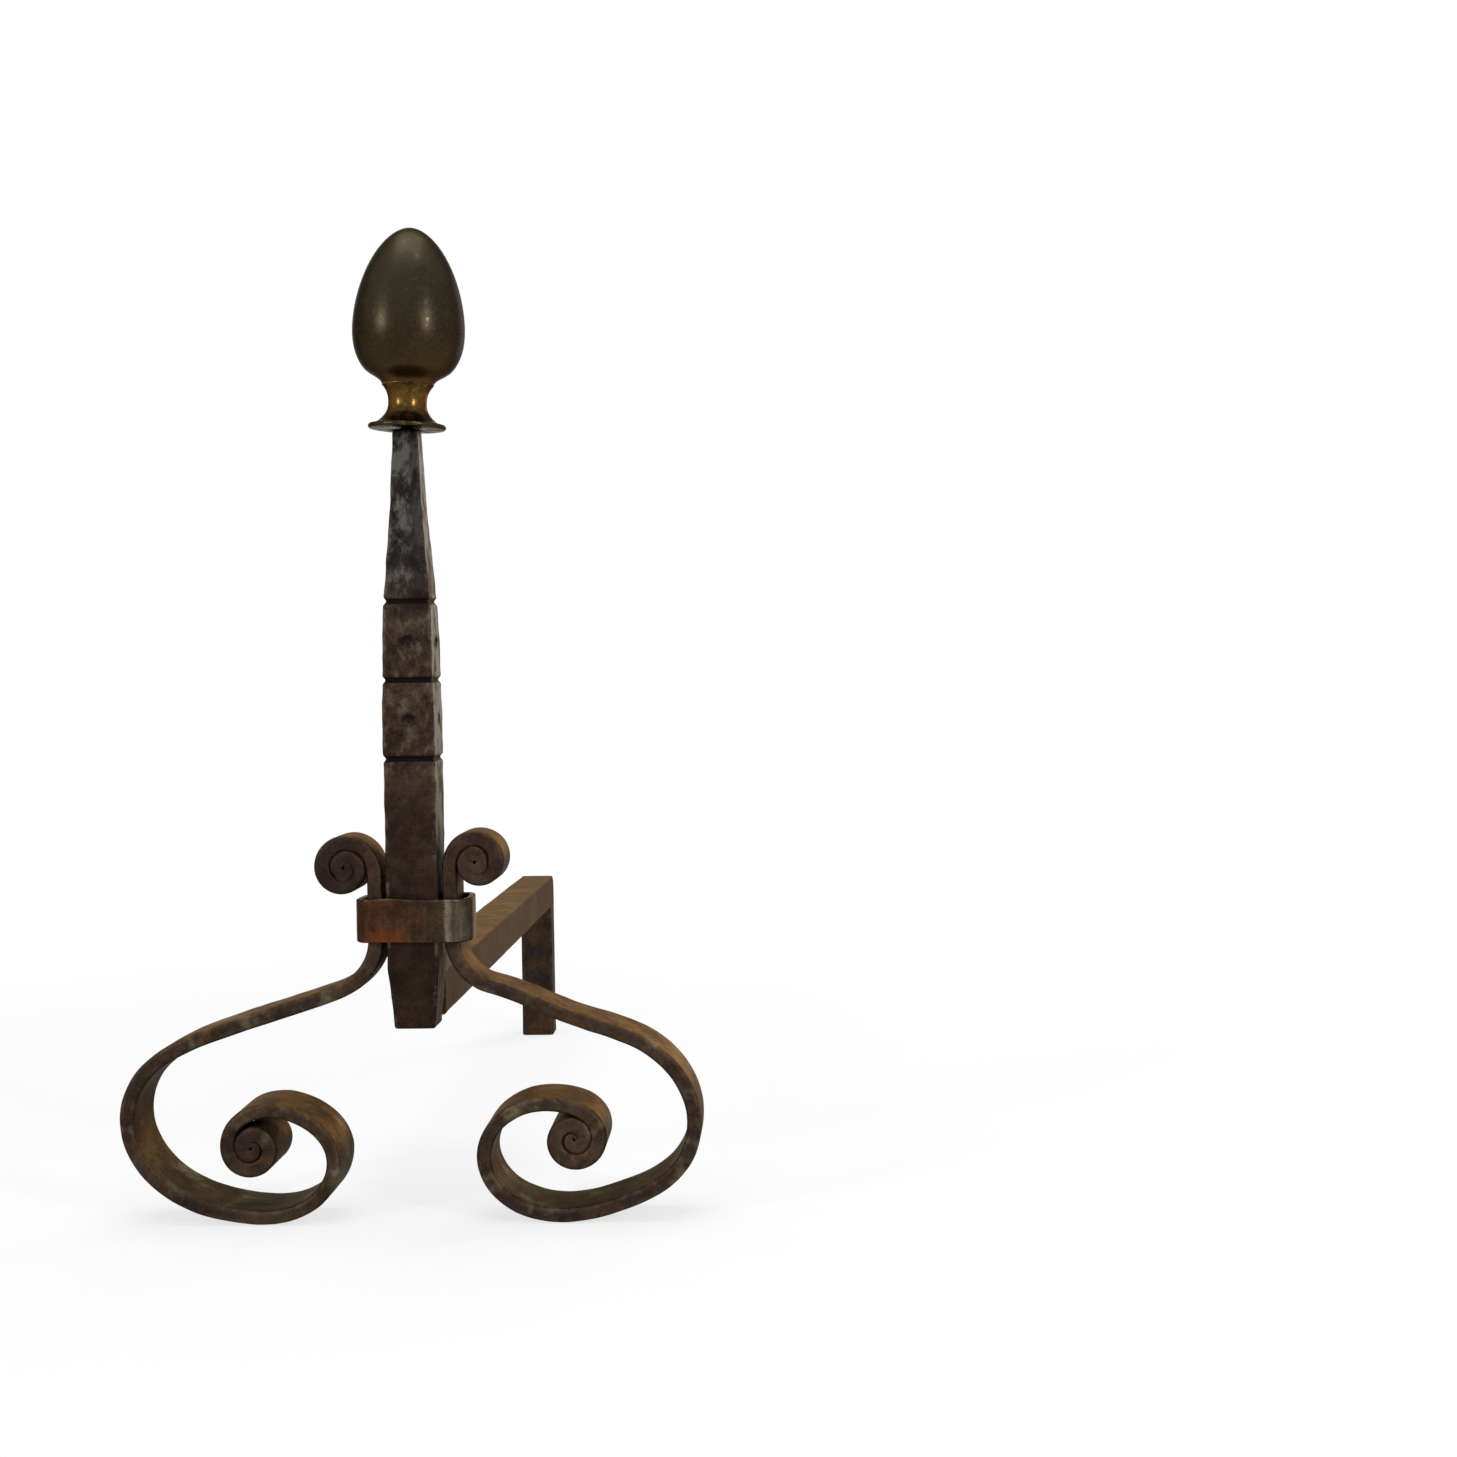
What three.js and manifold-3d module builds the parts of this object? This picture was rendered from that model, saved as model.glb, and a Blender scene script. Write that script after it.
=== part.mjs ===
// A wrought-iron andiron: one of the two supports that hold logs up in an open fire.
// Millimetres, +Z up. The face with the scrolls looks along -Y, and the log bar runs back along +Y.
// The floor is z = 0. The model is built about the post's axis and then moved, so that its
// origin is the middle of its footprint.

import * as THREE from 'three';
import { mergeVertices } from 'three/addons/utils/BufferGeometryUtils.js';
import Module from 'manifold-3d';

const wasm = await Module();
wasm.setup();

// ---------------------------------------------------------------------------------------------
// Driving dimensions
// ---------------------------------------------------------------------------------------------

// Gap between pieces that touch on the real andiron.
const clearance = 0.3;

// Post: a square iron bar, drawn out to a slim neck at the top and blunted at the foot.
const postSize = 25.4;
const postFootZ = 92.5;
const postFootSize = 20;
const postFootTaper = 30;
const postNeckSize = 12.4;
const postNeckLength = 34;
const postNeckGrowth = 3.2;
const postChamfer = 1.4;

// Chisel grooves cut round the post, and the punched dimples in the panels between them.
const grooveTopZ = 297.6;
const grooveSpacing = 37.6;
const grooveCount = 3;
const grooveWidth = 3.4;
const grooveDepth = 1.1;
const panelBulge = 0.35;
const taperAtTopGroove = 2.7;
const taperHalfWayShare = 0.3;
const dimpleRadius = 2.4;
const dimpleDepth = 1.1;

// Legs: flat bars forged into a small scroll above the collar and a large one below it.
const legThickness = 7.6;
const legChamfer = 1.1;
const legStandOff = 1.5;
const legFootThickness = 7.2;
const legTipThickness = 5.2;
const legTipTaper = 60;
const stemSetBack = 0.7;
const kneeSpread = 8;
const footSpread = 12;
const crestSpread = 4;
const crestTipThickness = 5.6;
const crestTipTaper = 35;
const wrapGap = 0.8;

// Places along a leg, as shares of its bent length: where its foot starts and stops thinning,
// and where it starts to spread, is as wide as the knee and is as wide as the foot.
const thinningFrom = 0.3;
const thinningTo = 0.7;
const spreadFrom = 0.02;
const spreadAtKnee = 0.25;
const spreadAtFoot = 0.48;
const crestSpreadFrom = 0.17;

// Forging runs below the collar. Each is [length, radius that the bar is bent to at its end];
// a positive radius bends it outwards, a negative one inwards. The bend changes evenly on a run.
const leftFootRuns = [
	[ 2.2, 23.8 ], [ 22, 26.8 ], [ 16.9, 494 ],
	[ 62.4, - 297 ], [ 37.3, - 32.5 ], [ 34.1, - 38.1 ],
	[ 59.1, - 135 ], [ 44, - 28 ], [ 20, - 18.7 ],
	[ 27.5, - 46.6 ], [ 32.1, - 17.7 ], [ 23.7, - 10.6 ],
];
const rightFootRuns = [
	[ 6.7, 33.3 ], [ 30.1, 22.7 ], [ 4.2, - 98.5 ],
	[ 40.1, 146 ], [ 38.7, - 55.4 ], [ 64.4, - 31.4 ],
	[ 33, - 181 ], [ 46.4, - 45 ], [ 36.9, - 21.1 ],
	[ 54.1, - 53.2 ], [ 6.2, - 18.6 ], [ 15, - 12.4 ],
];
const footEyeRadius = 3.9;

// Forging runs above the collar, in the same form, and the straight stem before them.
const leftCrestStem = 16.5;
const leftCrestRuns = [ [ 5.2, 30 ], [ 13, 12.8 ] ];
const rightCrestStem = 20.5;
const rightCrestRuns = [ [ 5.2, 26 ], [ 7.4, 12.2 ] ];
const crestEyeRadius = 4.3;

// Collar: a strip wrapped hot round the post and both stems, its ends meeting at the back.
const collarZ = 145.2;
const collarHeight = 21.3;
const collarThickness = 3;
const collarCornerRadius = 7;
const collarLeftSlack = 2.9;
const collarRightSlack = 3.5;
const collarSeam = 0.6;
const collarBevel = 0.5;

// Rivet through both stems and the post, under the collar, with flush heads.
const rivetRadius = 3.2;
const rivetHeadRadius = 5.2;
const rivetHeadDepth = 2.4;
const rivetSink = 0.1;

// Log bar: one square bar, let into the back of the post and bent down to the floor behind.
const barSize = 22.6;
const barTopZ = 117.7;
const barRearDrop = 2.8;
const barRearY = 496.3;
const rearLegDepth = 20;
const barOuterBend = 9;
const barInnerBend = 4;
const barChamfer = 1.2;
const tenonSize = 13;
const tenonLength = 11;
const tenonOverlap = 0.5;

// Finial: a hollow brass egg on a waisted brass base, screwed down on an iron stud.
const eggRadius = 26.8;
const eggWidestZ = 428;
const eggTopHeight = 48.5;
const eggUnderHeight = 28.9;
const eggWall = 3;
const eggBossHeight = 8;
const eggTopCurve = 1.75;
const eggTopFullness = 0.545;
const eggUnderCurve = 2.38;
const seamZ = 401.3;
const flangeZ = 380.4;
const flangeRadius = 18.6;
const flangeThickness = 2.2;
const flangeUnderEdge = 0.5;
const flangeTopEdge = 0.6;
const bellInset = 3.6;
const bellLift = 0.7;
const bellFlare = 2.4;
const waistRadius = 9.2;
const waistZ = 393;
const lipRadius = 12.3;
const studRadius = 3.2;
const studInPost = 24;
const studInEgg = 12;
const studChamfer = 0.6;

// The stud was set by hand, so the finial leans a little to the right of the post.
const finialLean = THREE.MathUtils.degToRad( 2.1 );

// ---------------------------------------------------------------------------------------------
// Values that follow from them
// ---------------------------------------------------------------------------------------------

const postTopZ = flangeZ - clearance;
const stemWidth = postSize - 2 * stemSetBack;
const stemX = postSize / 2 + legStandOff + legThickness / 2;
const stemOuterX = stemX + legThickness / 2;
const barFrontY = postSize / 2 + clearance;
const barSlope = barRearDrop / ( barRearY - barFrontY );

// ---------------------------------------------------------------------------------------------
// Geometry helpers
// ---------------------------------------------------------------------------------------------

// Skins a list of rings that have the same number of points, and closes both ends.
function loft( rings ) {

	const sides = rings[ 0 ].length;
	const position = rings.flat().flatMap( ( p ) => [ p.x, p.y, p.z ] );
	const index = [];
	for ( let ring = 0; ring < rings.length - 1; ring ++ ) {

		for ( let i = 0; i < sides; i ++ ) {

			const a = ring * sides + i;
			const b = ring * sides + ( i + 1 ) % sides;
			index.push( a, b, b + sides, a, b + sides, a + sides );

		}

	}

	const last = ( rings.length - 1 ) * sides;
	for ( let i = 1; i < sides - 1; i ++ ) {

		index.push( 0, i + 1, i );
		index.push( last, last + i, last + i + 1 );

	}

	const geometry = new THREE.BufferGeometry();
	geometry.setAttribute( 'position', new THREE.Float32BufferAttribute( position, 3 ) );
	geometry.setIndex( index );
	return geometry;

}

// The eight corners of a rectangle with chamfered corners, counter-clockwise.
function chamferedRectangle( halfWidth, halfHeight, chamfer ) {

	const w = halfWidth;
	const h = halfHeight;
	const c = chamfer;
	return [
		[ w, - h + c ], [ w, h - c ], [ w - c, h ], [ - w + c, h ],
		[ - w, h - c ], [ - w, - h + c ], [ - w + c, - h ], [ w - c, - h ],
	];

}

function toManifold( geometry ) {

	const bare = geometry.clone();
	bare.deleteAttribute( 'normal' );
	bare.deleteAttribute( 'uv' );
	const merged = mergeVertices( bare, 1e-4 );
	return new wasm.Manifold( new wasm.Mesh( {
		numProp: 3,
		vertProperties: new Float32Array( merged.attributes.position.array ),
		triVerts: new Uint32Array( merged.index.array ),
	} ) );

}

// Takes the volume of each tool away from a body.
function cut( body, tools ) {

	const solid = tools.reduce( ( left, tool ) => left.subtract( toManifold( tool ) ), toManifold( body ) );
	const mesh = solid.getMesh();
	const geometry = new THREE.BufferGeometry();
	geometry.setAttribute( 'position', new THREE.BufferAttribute( mesh.vertProperties, 3 ) );
	geometry.setIndex( new THREE.BufferAttribute( mesh.triVerts, 1 ) );
	return geometry;

}

// A body turned about the Z axis from [radius, height] pairs, in a loop that runs up its outside.
function turned( profile, segments ) {

	const points = profile.map( ( [ radius, height ] ) => new THREE.Vector2( radius, height ) );
	return new THREE.LatheGeometry( points, segments ).rotateX( Math.PI / 2 );

}

// ---------------------------------------------------------------------------------------------
// Materials
// ---------------------------------------------------------------------------------------------

const iron = { color: 0x4a4038, roughness: 0.62, metalness: 0.75 };
const rustyIron = { color: 0x6b4f34, roughness: 0.75, metalness: 0.55 };
const brass = { color: 0x6f6233, roughness: 0.42, metalness: 0.9 };
const brightBrass = { color: 0x94762f, roughness: 0.35, metalness: 0.95 };

const andiron = new THREE.Group();

function addPiece( name, geometry, finish ) {

	const flat = geometry.index ? geometry.toNonIndexed() : geometry;
	flat.computeVertexNormals();
	const piece = new THREE.Mesh( flat, new THREE.MeshStandardMaterial( finish ) );
	piece.name = name;
	andiron.add( piece );
	return piece;

}

// ---------------------------------------------------------------------------------------------
// Legs
// ---------------------------------------------------------------------------------------------

const walkStep = 0.25;
const stationTurn = THREE.MathUtils.degToRad( 8 );
const stationLength = 9;

// Bend (1 / radius) at a distance along a bar that starts with a straight stem, goes on in runs
// and ends in a coil. In the coil the radius shrinks by one pitch a turn, down to the eye.
function bendAlong( stem, runs, pitch, eyeRadius ) {

	const knots = [ { at: 0, bend: 0 }, { at: stem, bend: 0 } ];
	for ( const [ length, radius ] of runs ) {

		knots.push( { at: knots.at( - 1 ).at + length, bend: 1 / radius } );

	}

	const coilStart = knots.at( - 1 ).at;
	const coilRadius = Math.abs( runs.at( - 1 )[ 1 ] );
	const coilSense = Math.sign( runs.at( - 1 )[ 1 ] );
	const coilLength = Math.PI * ( coilRadius ** 2 - eyeRadius ** 2 ) / pitch;
	const bend = ( s ) => {

		if ( s >= coilStart ) {

			return coilSense / Math.sqrt( coilRadius ** 2 - pitch * ( s - coilStart ) / Math.PI );

		}

		const next = knots.findIndex( ( knot ) => knot.at > s );
		const from = knots[ next - 1 ];
		const to = knots[ next ];
		return THREE.MathUtils.mapLinear( s, from.at, to.at, from.bend, to.bend );

	};

	return { bend, total: coilStart + coilLength };

}

// Walks the centreline of a bar from the collar, down (rise -1) or up (rise +1), and returns its
// stations: place, outward normal and distance. x counts away from the post.
function walk( rise, { bend, total } ) {

	const steps = Math.ceil( total / walkStep );
	const step = total / steps;
	let x = stemX;
	let z = 0;
	let heading = 0;
	let since = { heading: 0, s: 0 };
	const stations = [ { x, z, nx: 1, nz: 0, s: 0 } ];
	for ( let i = 0; i < steps; i ++ ) {

		const turn = bend( ( i + 0.5 ) * step ) * step;
		x += Math.sin( heading + turn / 2 ) * step;
		z += rise * Math.cos( heading + turn / 2 ) * step;
		heading += turn;
		const s = ( i + 1 ) * step;
		const bent = Math.abs( heading - since.heading ) >= stationTurn;
		if ( bent || s - since.s >= stationLength || i === steps - 1 ) {

			stations.push( { x, z, nx: Math.cos( heading ), nz: - rise * Math.sin( heading ), s } );
			since = { heading, s };

		}

	}

	return stations;

}

// Value at s, running evenly between [distance, value] pairs and constant outside them.
function along( pairs, s ) {

	const next = pairs.findIndex( ( [ at ] ) => at > s );
	if ( next === 0 ) return pairs[ 0 ][ 1 ];
	if ( next === - 1 ) return pairs.at( - 1 )[ 1 ];
	const [ a, from ] = pairs[ next - 1 ];
	const [ b, to ] = pairs[ next ];
	return THREE.MathUtils.mapLinear( s, a, b, from, to );

}

// Thickness and width of a leg at a distance past its stem. The bar is spread and thinned
// towards the foot, and drawn thinner still at its tip.
function footSection( s, bentLength ) {

	return {
		thickness: along( [
			[ bentLength * thinningFrom, legThickness ], [ bentLength * thinningTo, legFootThickness ],
			[ bentLength - legTipTaper, legFootThickness ], [ bentLength, legTipThickness ],
		], s ),
		width: along( [
			[ bentLength * spreadFrom, stemWidth ],
			[ bentLength * spreadAtKnee, stemWidth + kneeSpread ],
			[ bentLength * spreadAtFoot, stemWidth + footSpread ],
		], s ),
	};

}

function crestSection( s, total ) {

	return {
		thickness: along( [
			[ total - crestTipTaper, legThickness ], [ total, crestTipThickness ],
		], s ),
		width: along( [ [ total * crestSpreadFrom, stemWidth ], [ total, stemWidth + crestSpread ] ], s ),
	};

}

// side is -1 for the left leg and +1 for the right one.
function leg( side, footRuns, crestStem, crestRuns ) {

	const footPitch = legFootThickness + wrapGap - ( legFootThickness - legTipThickness ) / 2;
	const crestPitch = legThickness + wrapGap - ( legThickness - crestTipThickness ) / 2;

	const ring = ( station, { thickness, width } ) => {

		const outline = chamferedRectangle( thickness / 2, width / 2, legChamfer );
		const points = outline.map( ( [ out, across ] ) => new THREE.Vector3(
			side * ( station.x + out * station.nx ),
			across,
			collarZ + station.z + out * station.nz,
		) );
		return side < 0 ? points : points.reverse();

	};

	const footRings = ( stem ) => {

		const path = bendAlong( stem, footRuns, footPitch, footEyeRadius );
		const bentLength = path.total - stem;
		return walk( - 1, path ).map( ( station ) => ring( station, footSection( station.s - stem, bentLength ) ) );

	};

	// The stem below the collar is as long as it takes for the scroll to stand on the floor.
	const footStem = Math.min( ...footRings( 0 ).flat().map( ( point ) => point.z ) );
	const crest = bendAlong( crestStem, crestRuns, crestPitch, crestEyeRadius );
	const up = walk( 1, crest ).map( ( station ) => ring( station, crestSection( station.s, crest.total ) ) );
	return loft( [ ...up.slice( 1 ).reverse(), ...footRings( footStem ) ] );

}

// ---------------------------------------------------------------------------------------------
// Rivet, and its hole in the post and the stems
// ---------------------------------------------------------------------------------------------

function rivet( growth ) {

	const half = stemOuterX - rivetSink + growth;
	const shank = rivetRadius + growth;
	const head = rivetHeadRadius + growth;
	return turned( [
		[ 0, - half ], [ head, - half ], [ shank, - half + rivetHeadDepth ],
		[ shank, half - rivetHeadDepth ], [ head, half ], [ 0, half ],
	], 20 ).rotateY( Math.PI / 2 ).translate( 0, 0, collarZ );

}

const rivetHole = rivet( clearance );

// ---------------------------------------------------------------------------------------------
// Post
// ---------------------------------------------------------------------------------------------

const grooveZs = Array.from( { length: grooveCount }, ( _, i ) => grooveTopZ - i * grooveSpacing );
const panelZs = grooveZs.slice( 1 ).map( ( z ) => z + grooveSpacing / 2 );
const taperStartZ = grooveZs.at( - 1 );
const taperSpan = grooveTopZ - taperStartZ;

// Width of the four-sided post at a height, before it is grooved.
function postWidth( z ) {

	return along( [
		[ postFootZ, postFootSize ],
		[ postFootZ + postFootTaper, postSize ],
		[ taperStartZ, postSize ],
		[ taperStartZ + taperSpan / 2, postSize - taperAtTopGroove * taperHalfWayShare ],
		[ grooveTopZ, postSize - taperAtTopGroove ],
		[ postTopZ - postNeckLength, postNeckSize + postNeckGrowth ],
		[ postTopZ, postNeckSize ],
	], z );

}

function postBody() {

	const rows = [ [ postFootZ, 0 ], [ postFootZ + postFootTaper / 2, 0 ], [ postFootZ + postFootTaper, 0 ] ];
	for ( const z of [ ...grooveZs ].reverse() ) {

		rows.push( [ z - grooveWidth / 2, 0 ], [ z, - grooveDepth ], [ z + grooveWidth / 2, 0 ] );
		if ( z < grooveTopZ ) {

			for ( const share of [ 0.3, 0.5, 0.7 ] ) {

				rows.push( [ z + grooveSpacing * share, panelBulge * 4 * share * ( 1 - share ) ] );

			}

		}

	}

	for ( const share of [ 0.3, 0.65, 1 ] ) {

		rows.push( [ THREE.MathUtils.lerp( grooveTopZ, postTopZ - postNeckLength, share ), 0 ] );

	}

	rows.push( [ postTopZ - postNeckLength / 2, 0 ], [ postTopZ, 0 ] );
	return loft( rows.map( ( [ z, swell ] ) => {

		const half = postWidth( z ) / 2 + swell;
		const chamfer = postChamfer * half / ( postSize / 2 );
		return chamferedRectangle( half, half, chamfer ).map( ( [ x, y ] ) => new THREE.Vector3( x, y, z ) );

	} ) );

}

// A punch mark in the middle of a panel, on the face that a quarter turn brings to the front.
function dimple( z, quarter ) {

	const ball = ( dimpleRadius ** 2 + dimpleDepth ** 2 ) / ( 2 * dimpleDepth );
	const face = postWidth( z ) / 2 + panelBulge;
	return new THREE.SphereGeometry( ball, 14, 10 )
		.translate( 0, - face - ball + dimpleDepth, z )
		.rotateZ( quarter * Math.PI / 2 );

}

const tenonZ = barTopZ - barSize / 2;

function tenonBlock( growth ) {

	const length = tenonLength + clearance + growth;
	return new THREE.BoxGeometry( tenonSize + 2 * growth, length, tenonSize + 2 * growth )
		.translate( 0, barFrontY + tenonOverlap - length / 2, tenonZ );

}

const dimples = panelZs.flatMap( ( z ) => [ 0, 1, 2, 3 ].map( ( quarter ) => dimple( z, quarter ) ) );
const studHoleDepth = studInPost + clearance;
const studHoleRadius = studRadius + clearance;
const studHole = new THREE.CylinderGeometry( studHoleRadius, studHoleRadius, 2 * studHoleDepth, 20 )
	.rotateX( Math.PI / 2 )
	.rotateY( finialLean )
	.translate( 0, 0, postTopZ );
addPiece( 'post', cut( postBody(), [ ...dimples, studHole, rivetHole, tenonBlock( clearance ) ] ), iron );

addPiece( 'left_leg', cut( leg( - 1, leftFootRuns, leftCrestStem, leftCrestRuns ), [ rivetHole ] ), iron );
addPiece( 'right_leg', cut( leg( 1, rightFootRuns, rightCrestStem, rightCrestRuns ), [ rivetHole ] ), iron );
addPiece( 'leg_rivet', rivet( 0 ), iron );

// ---------------------------------------------------------------------------------------------
// Collar
// ---------------------------------------------------------------------------------------------

// A rectangle with rounded corners, as an outline to extrude or as a hole.
function roundedRectangle( Outline, left, right, halfDepth, radius ) {

	const outline = new Outline();
	outline.moveTo( left + radius, - halfDepth );
	outline.lineTo( right - radius, - halfDepth );
	outline.absarc( right - radius, - halfDepth + radius, radius, - Math.PI / 2, 0, false );
	outline.lineTo( right, halfDepth - radius );
	outline.absarc( right - radius, halfDepth - radius, radius, 0, Math.PI / 2, false );
	outline.lineTo( left + radius, halfDepth );
	outline.absarc( left + radius, halfDepth - radius, radius, Math.PI / 2, Math.PI, false );
	outline.lineTo( left, - halfDepth + radius );
	outline.absarc( left + radius, - halfDepth + radius, radius, Math.PI, Math.PI * 1.5, false );
	return outline;

}

function collar() {

	const t = collarThickness;
	const innerLeft = - stemOuterX - collarLeftSlack;
	const innerRight = stemOuterX + collarRightSlack;
	const innerHalf = postSize / 2 + clearance;
	const bevel = collarBevel;
	const shape = roundedRectangle(
		THREE.Shape,
		innerLeft - t + bevel, innerRight + t - bevel, innerHalf + t - bevel, collarCornerRadius - bevel,
	);
	shape.holes.push( roundedRectangle(
		THREE.Path,
		innerLeft - bevel, innerRight + bevel, innerHalf + bevel, collarCornerRadius - t + bevel,
	) );
	const band = new THREE.ExtrudeGeometry( shape, {
		depth: collarHeight - 2 * bevel,
		bevelThickness: bevel,
		bevelSize: bevel,
		bevelSegments: 1,
		curveSegments: 7,
	} ).translate( 0, 0, collarZ - collarHeight / 2 + bevel );
	const seam = new THREE.BoxGeometry( collarSeam, t * 3, collarHeight * 2 )
		.translate( 0, innerHalf + t / 2, collarZ );
	return cut( band, [ seam ] );

}

addPiece( 'collar', collar(), rustyIron );

// ---------------------------------------------------------------------------------------------
// Log bar and rear leg
// ---------------------------------------------------------------------------------------------

// The side view is drawn with X along the bar and Y up, and extruded across it.
function logBar() {

	const b = barChamfer;
	const rearTopZ = barTopZ - barRearDrop;
	const rearLegY = barRearY - rearLegDepth;
	const underside = ( y ) => barTopZ - barSize - ( y - barFrontY ) * barSlope;
	const top = ( y ) => barTopZ - ( y - barFrontY ) * barSlope;
	const insideY = rearLegY + b;
	const insideZ = underside( rearLegY ) + b;
	const bendTopZ = top( barRearY - barOuterBend ) - b;
	const side = new THREE.Shape();
	side.moveTo( barFrontY + b, underside( barFrontY ) + b );
	side.lineTo( insideY - barInnerBend, insideZ );
	side.quadraticCurveTo( insideY, insideZ, insideY, insideZ - barInnerBend );
	side.lineTo( insideY, b );
	side.lineTo( barRearY - b, b );
	side.lineTo( barRearY - b, rearTopZ - barOuterBend );
	side.quadraticCurveTo( barRearY - b, rearTopZ - b, barRearY - barOuterBend, bendTopZ );
	side.lineTo( barFrontY + b, barTopZ - b );
	const bar = new THREE.ExtrudeGeometry( side, {
		depth: barSize - 2 * b,
		bevelThickness: b,
		bevelSize: b,
		bevelSegments: 1,
		curveSegments: 6,
	} );
	bar.applyMatrix4( new THREE.Matrix4().set(
		0, 0, 1, - barSize / 2 + b,
		1, 0, 0, 0,
		0, 1, 0, 0,
		0, 0, 0, 1,
	) );
	const solid = toManifold( bar ).add( toManifold( tenonBlock( 0 ) ) );
	const mesh = solid.getMesh();
	const geometry = new THREE.BufferGeometry();
	geometry.setAttribute( 'position', new THREE.BufferAttribute( mesh.vertProperties, 3 ) );
	geometry.setIndex( new THREE.BufferAttribute( mesh.triVerts, 1 ) );
	return geometry;

}

addPiece( 'log_bar', logBar(), rustyIron );

// ---------------------------------------------------------------------------------------------
// Finial
// ---------------------------------------------------------------------------------------------

// One side of an egg from a height up to just below its tip: fuller under its widest point and
// drawn to a soft point above. Rings are evenly spaced by angle about the widest point.
function eggSide( startZ, radius, topHeight, underHeight, rings ) {

	const startAngle = - Math.asin( ( eggWidestZ - startZ ) / underHeight );
	return Array.from( { length: rings }, ( _, i ) => {

		const rise = Math.sin( THREE.MathUtils.lerp( startAngle, Math.PI / 2, i / rings ) );
		return rise >= 0
			? [ radius * ( 1 - rise ** eggTopCurve ) ** eggTopFullness, eggWidestZ + rise * topHeight ]
			: [ radius * Math.sqrt( 1 - ( - rise ) ** eggUnderCurve ), eggWidestZ + rise * underHeight ];

	} );

}

const bore = studRadius + clearance;

function egg() {

	const bottomZ = seamZ + clearance;
	const topZ = eggWidestZ + eggTopHeight;
	const bossZ = bottomZ + eggBossHeight;
	const outside = eggSide( bottomZ, eggRadius, eggTopHeight, eggUnderHeight, 22 );
	const inside = eggSide(
		bossZ, eggRadius - eggWall, eggTopHeight - eggWall, eggUnderHeight - eggWall, 12,
	);
	return turned( [
		[ bore, bottomZ ], ...outside, [ 0, topZ ], [ 0, topZ - eggWall ], ...inside.reverse(),
		[ bore, bossZ ], [ bore, bottomZ ],
	], 40 );

}

// The base: a flat flange, a bell-shaped rise, a waist, and a mouth that opens out to the egg.
function finialBase() {

	const rimTopZ = flangeZ + flangeThickness;
	const bellFoot = flangeRadius - bellInset;
	const bellFootZ = rimTopZ + bellLift;
	const profile = [
		[ bore, flangeZ ],
		[ flangeRadius - flangeUnderEdge, flangeZ ],
		[ flangeRadius, flangeZ + flangeUnderEdge ],
		[ flangeRadius, rimTopZ - flangeTopEdge ],
		[ flangeRadius - flangeTopEdge, rimTopZ ],
		[ bellFoot, bellFootZ ],
	];
	for ( const share of [ 0.15, 0.35, 0.6, 0.85 ] ) {

		profile.push( [
			THREE.MathUtils.lerp( waistRadius, bellFoot, ( 1 - share ) ** bellFlare ),
			THREE.MathUtils.lerp( bellFootZ, waistZ, share ),
		] );

	}

	for ( const share of [ 0, 0.4, 0.7, 0.88, 1 ] ) {

		profile.push( [
			THREE.MathUtils.lerp( waistRadius, lipRadius, share ** bellFlare ),
			THREE.MathUtils.lerp( waistZ, seamZ, share ),
		] );

	}

	profile.push( [ bore, seamZ ], [ bore, flangeZ ] );
	return turned( profile, 40 );

}

function stud() {

	const bottomZ = postTopZ - studInPost;
	const topZ = seamZ + clearance + studInEgg;
	return turned( [
		[ 0, bottomZ ], [ studRadius - studChamfer, bottomZ ], [ studRadius, bottomZ + studChamfer ],
		[ studRadius, topZ - studChamfer ], [ studRadius - studChamfer, topZ ], [ 0, topZ ],
	], 20 );

}

// The finial's pieces share one group, which leans about the middle of the post's top.
const finial = new THREE.Group();
finial.position.z = postTopZ;
finial.rotation.y = finialLean;
andiron.add( finial );
for ( const piece of [
	addPiece( 'finial_stud', stud(), iron ),
	addPiece( 'finial_base', finialBase(), brightBrass ),
	addPiece( 'finial_egg', egg(), brass ),
] ) {

	piece.position.z = - postTopZ;
	finial.add( piece );

}

// ---------------------------------------------------------------------------------------------
// The origin goes to the middle of the footprint, on the floor
// ---------------------------------------------------------------------------------------------

andiron.updateMatrixWorld( true );
const footprint = new THREE.Box3().setFromObject( andiron, true );
const middle = footprint.getCenter( new THREE.Vector3() );
andiron.position.set( - middle.x, - middle.y, 0 );

export default andiron;
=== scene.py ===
import math

import bpy
import numpy as np
from mathutils import Matrix, Vector


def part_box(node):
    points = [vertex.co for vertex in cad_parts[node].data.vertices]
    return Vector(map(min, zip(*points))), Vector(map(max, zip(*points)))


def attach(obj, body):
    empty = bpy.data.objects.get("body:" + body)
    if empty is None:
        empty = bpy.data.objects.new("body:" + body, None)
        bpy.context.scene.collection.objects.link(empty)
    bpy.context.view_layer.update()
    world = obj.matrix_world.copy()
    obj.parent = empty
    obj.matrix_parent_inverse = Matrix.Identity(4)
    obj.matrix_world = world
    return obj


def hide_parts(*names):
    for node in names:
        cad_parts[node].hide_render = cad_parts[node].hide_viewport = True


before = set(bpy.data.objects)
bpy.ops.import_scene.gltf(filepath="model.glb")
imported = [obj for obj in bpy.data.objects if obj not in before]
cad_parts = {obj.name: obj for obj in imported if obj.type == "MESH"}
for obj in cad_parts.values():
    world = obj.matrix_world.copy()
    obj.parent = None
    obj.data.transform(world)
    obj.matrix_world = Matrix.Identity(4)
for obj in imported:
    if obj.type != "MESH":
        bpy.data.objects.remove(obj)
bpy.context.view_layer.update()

MM = 0.001

# ----------------------------------------
# Camera. It stands a little to the right of the post and at the height of its upper half, about
# a metre in front, level but for a slight tilt, with a lens of normal length.
# ----------------------------------------

rivet_low, rivet_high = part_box("leg_rivet")
POST_X, POST_Y, COLLAR_Z = (rivet_low + rivet_high) / 2

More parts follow.
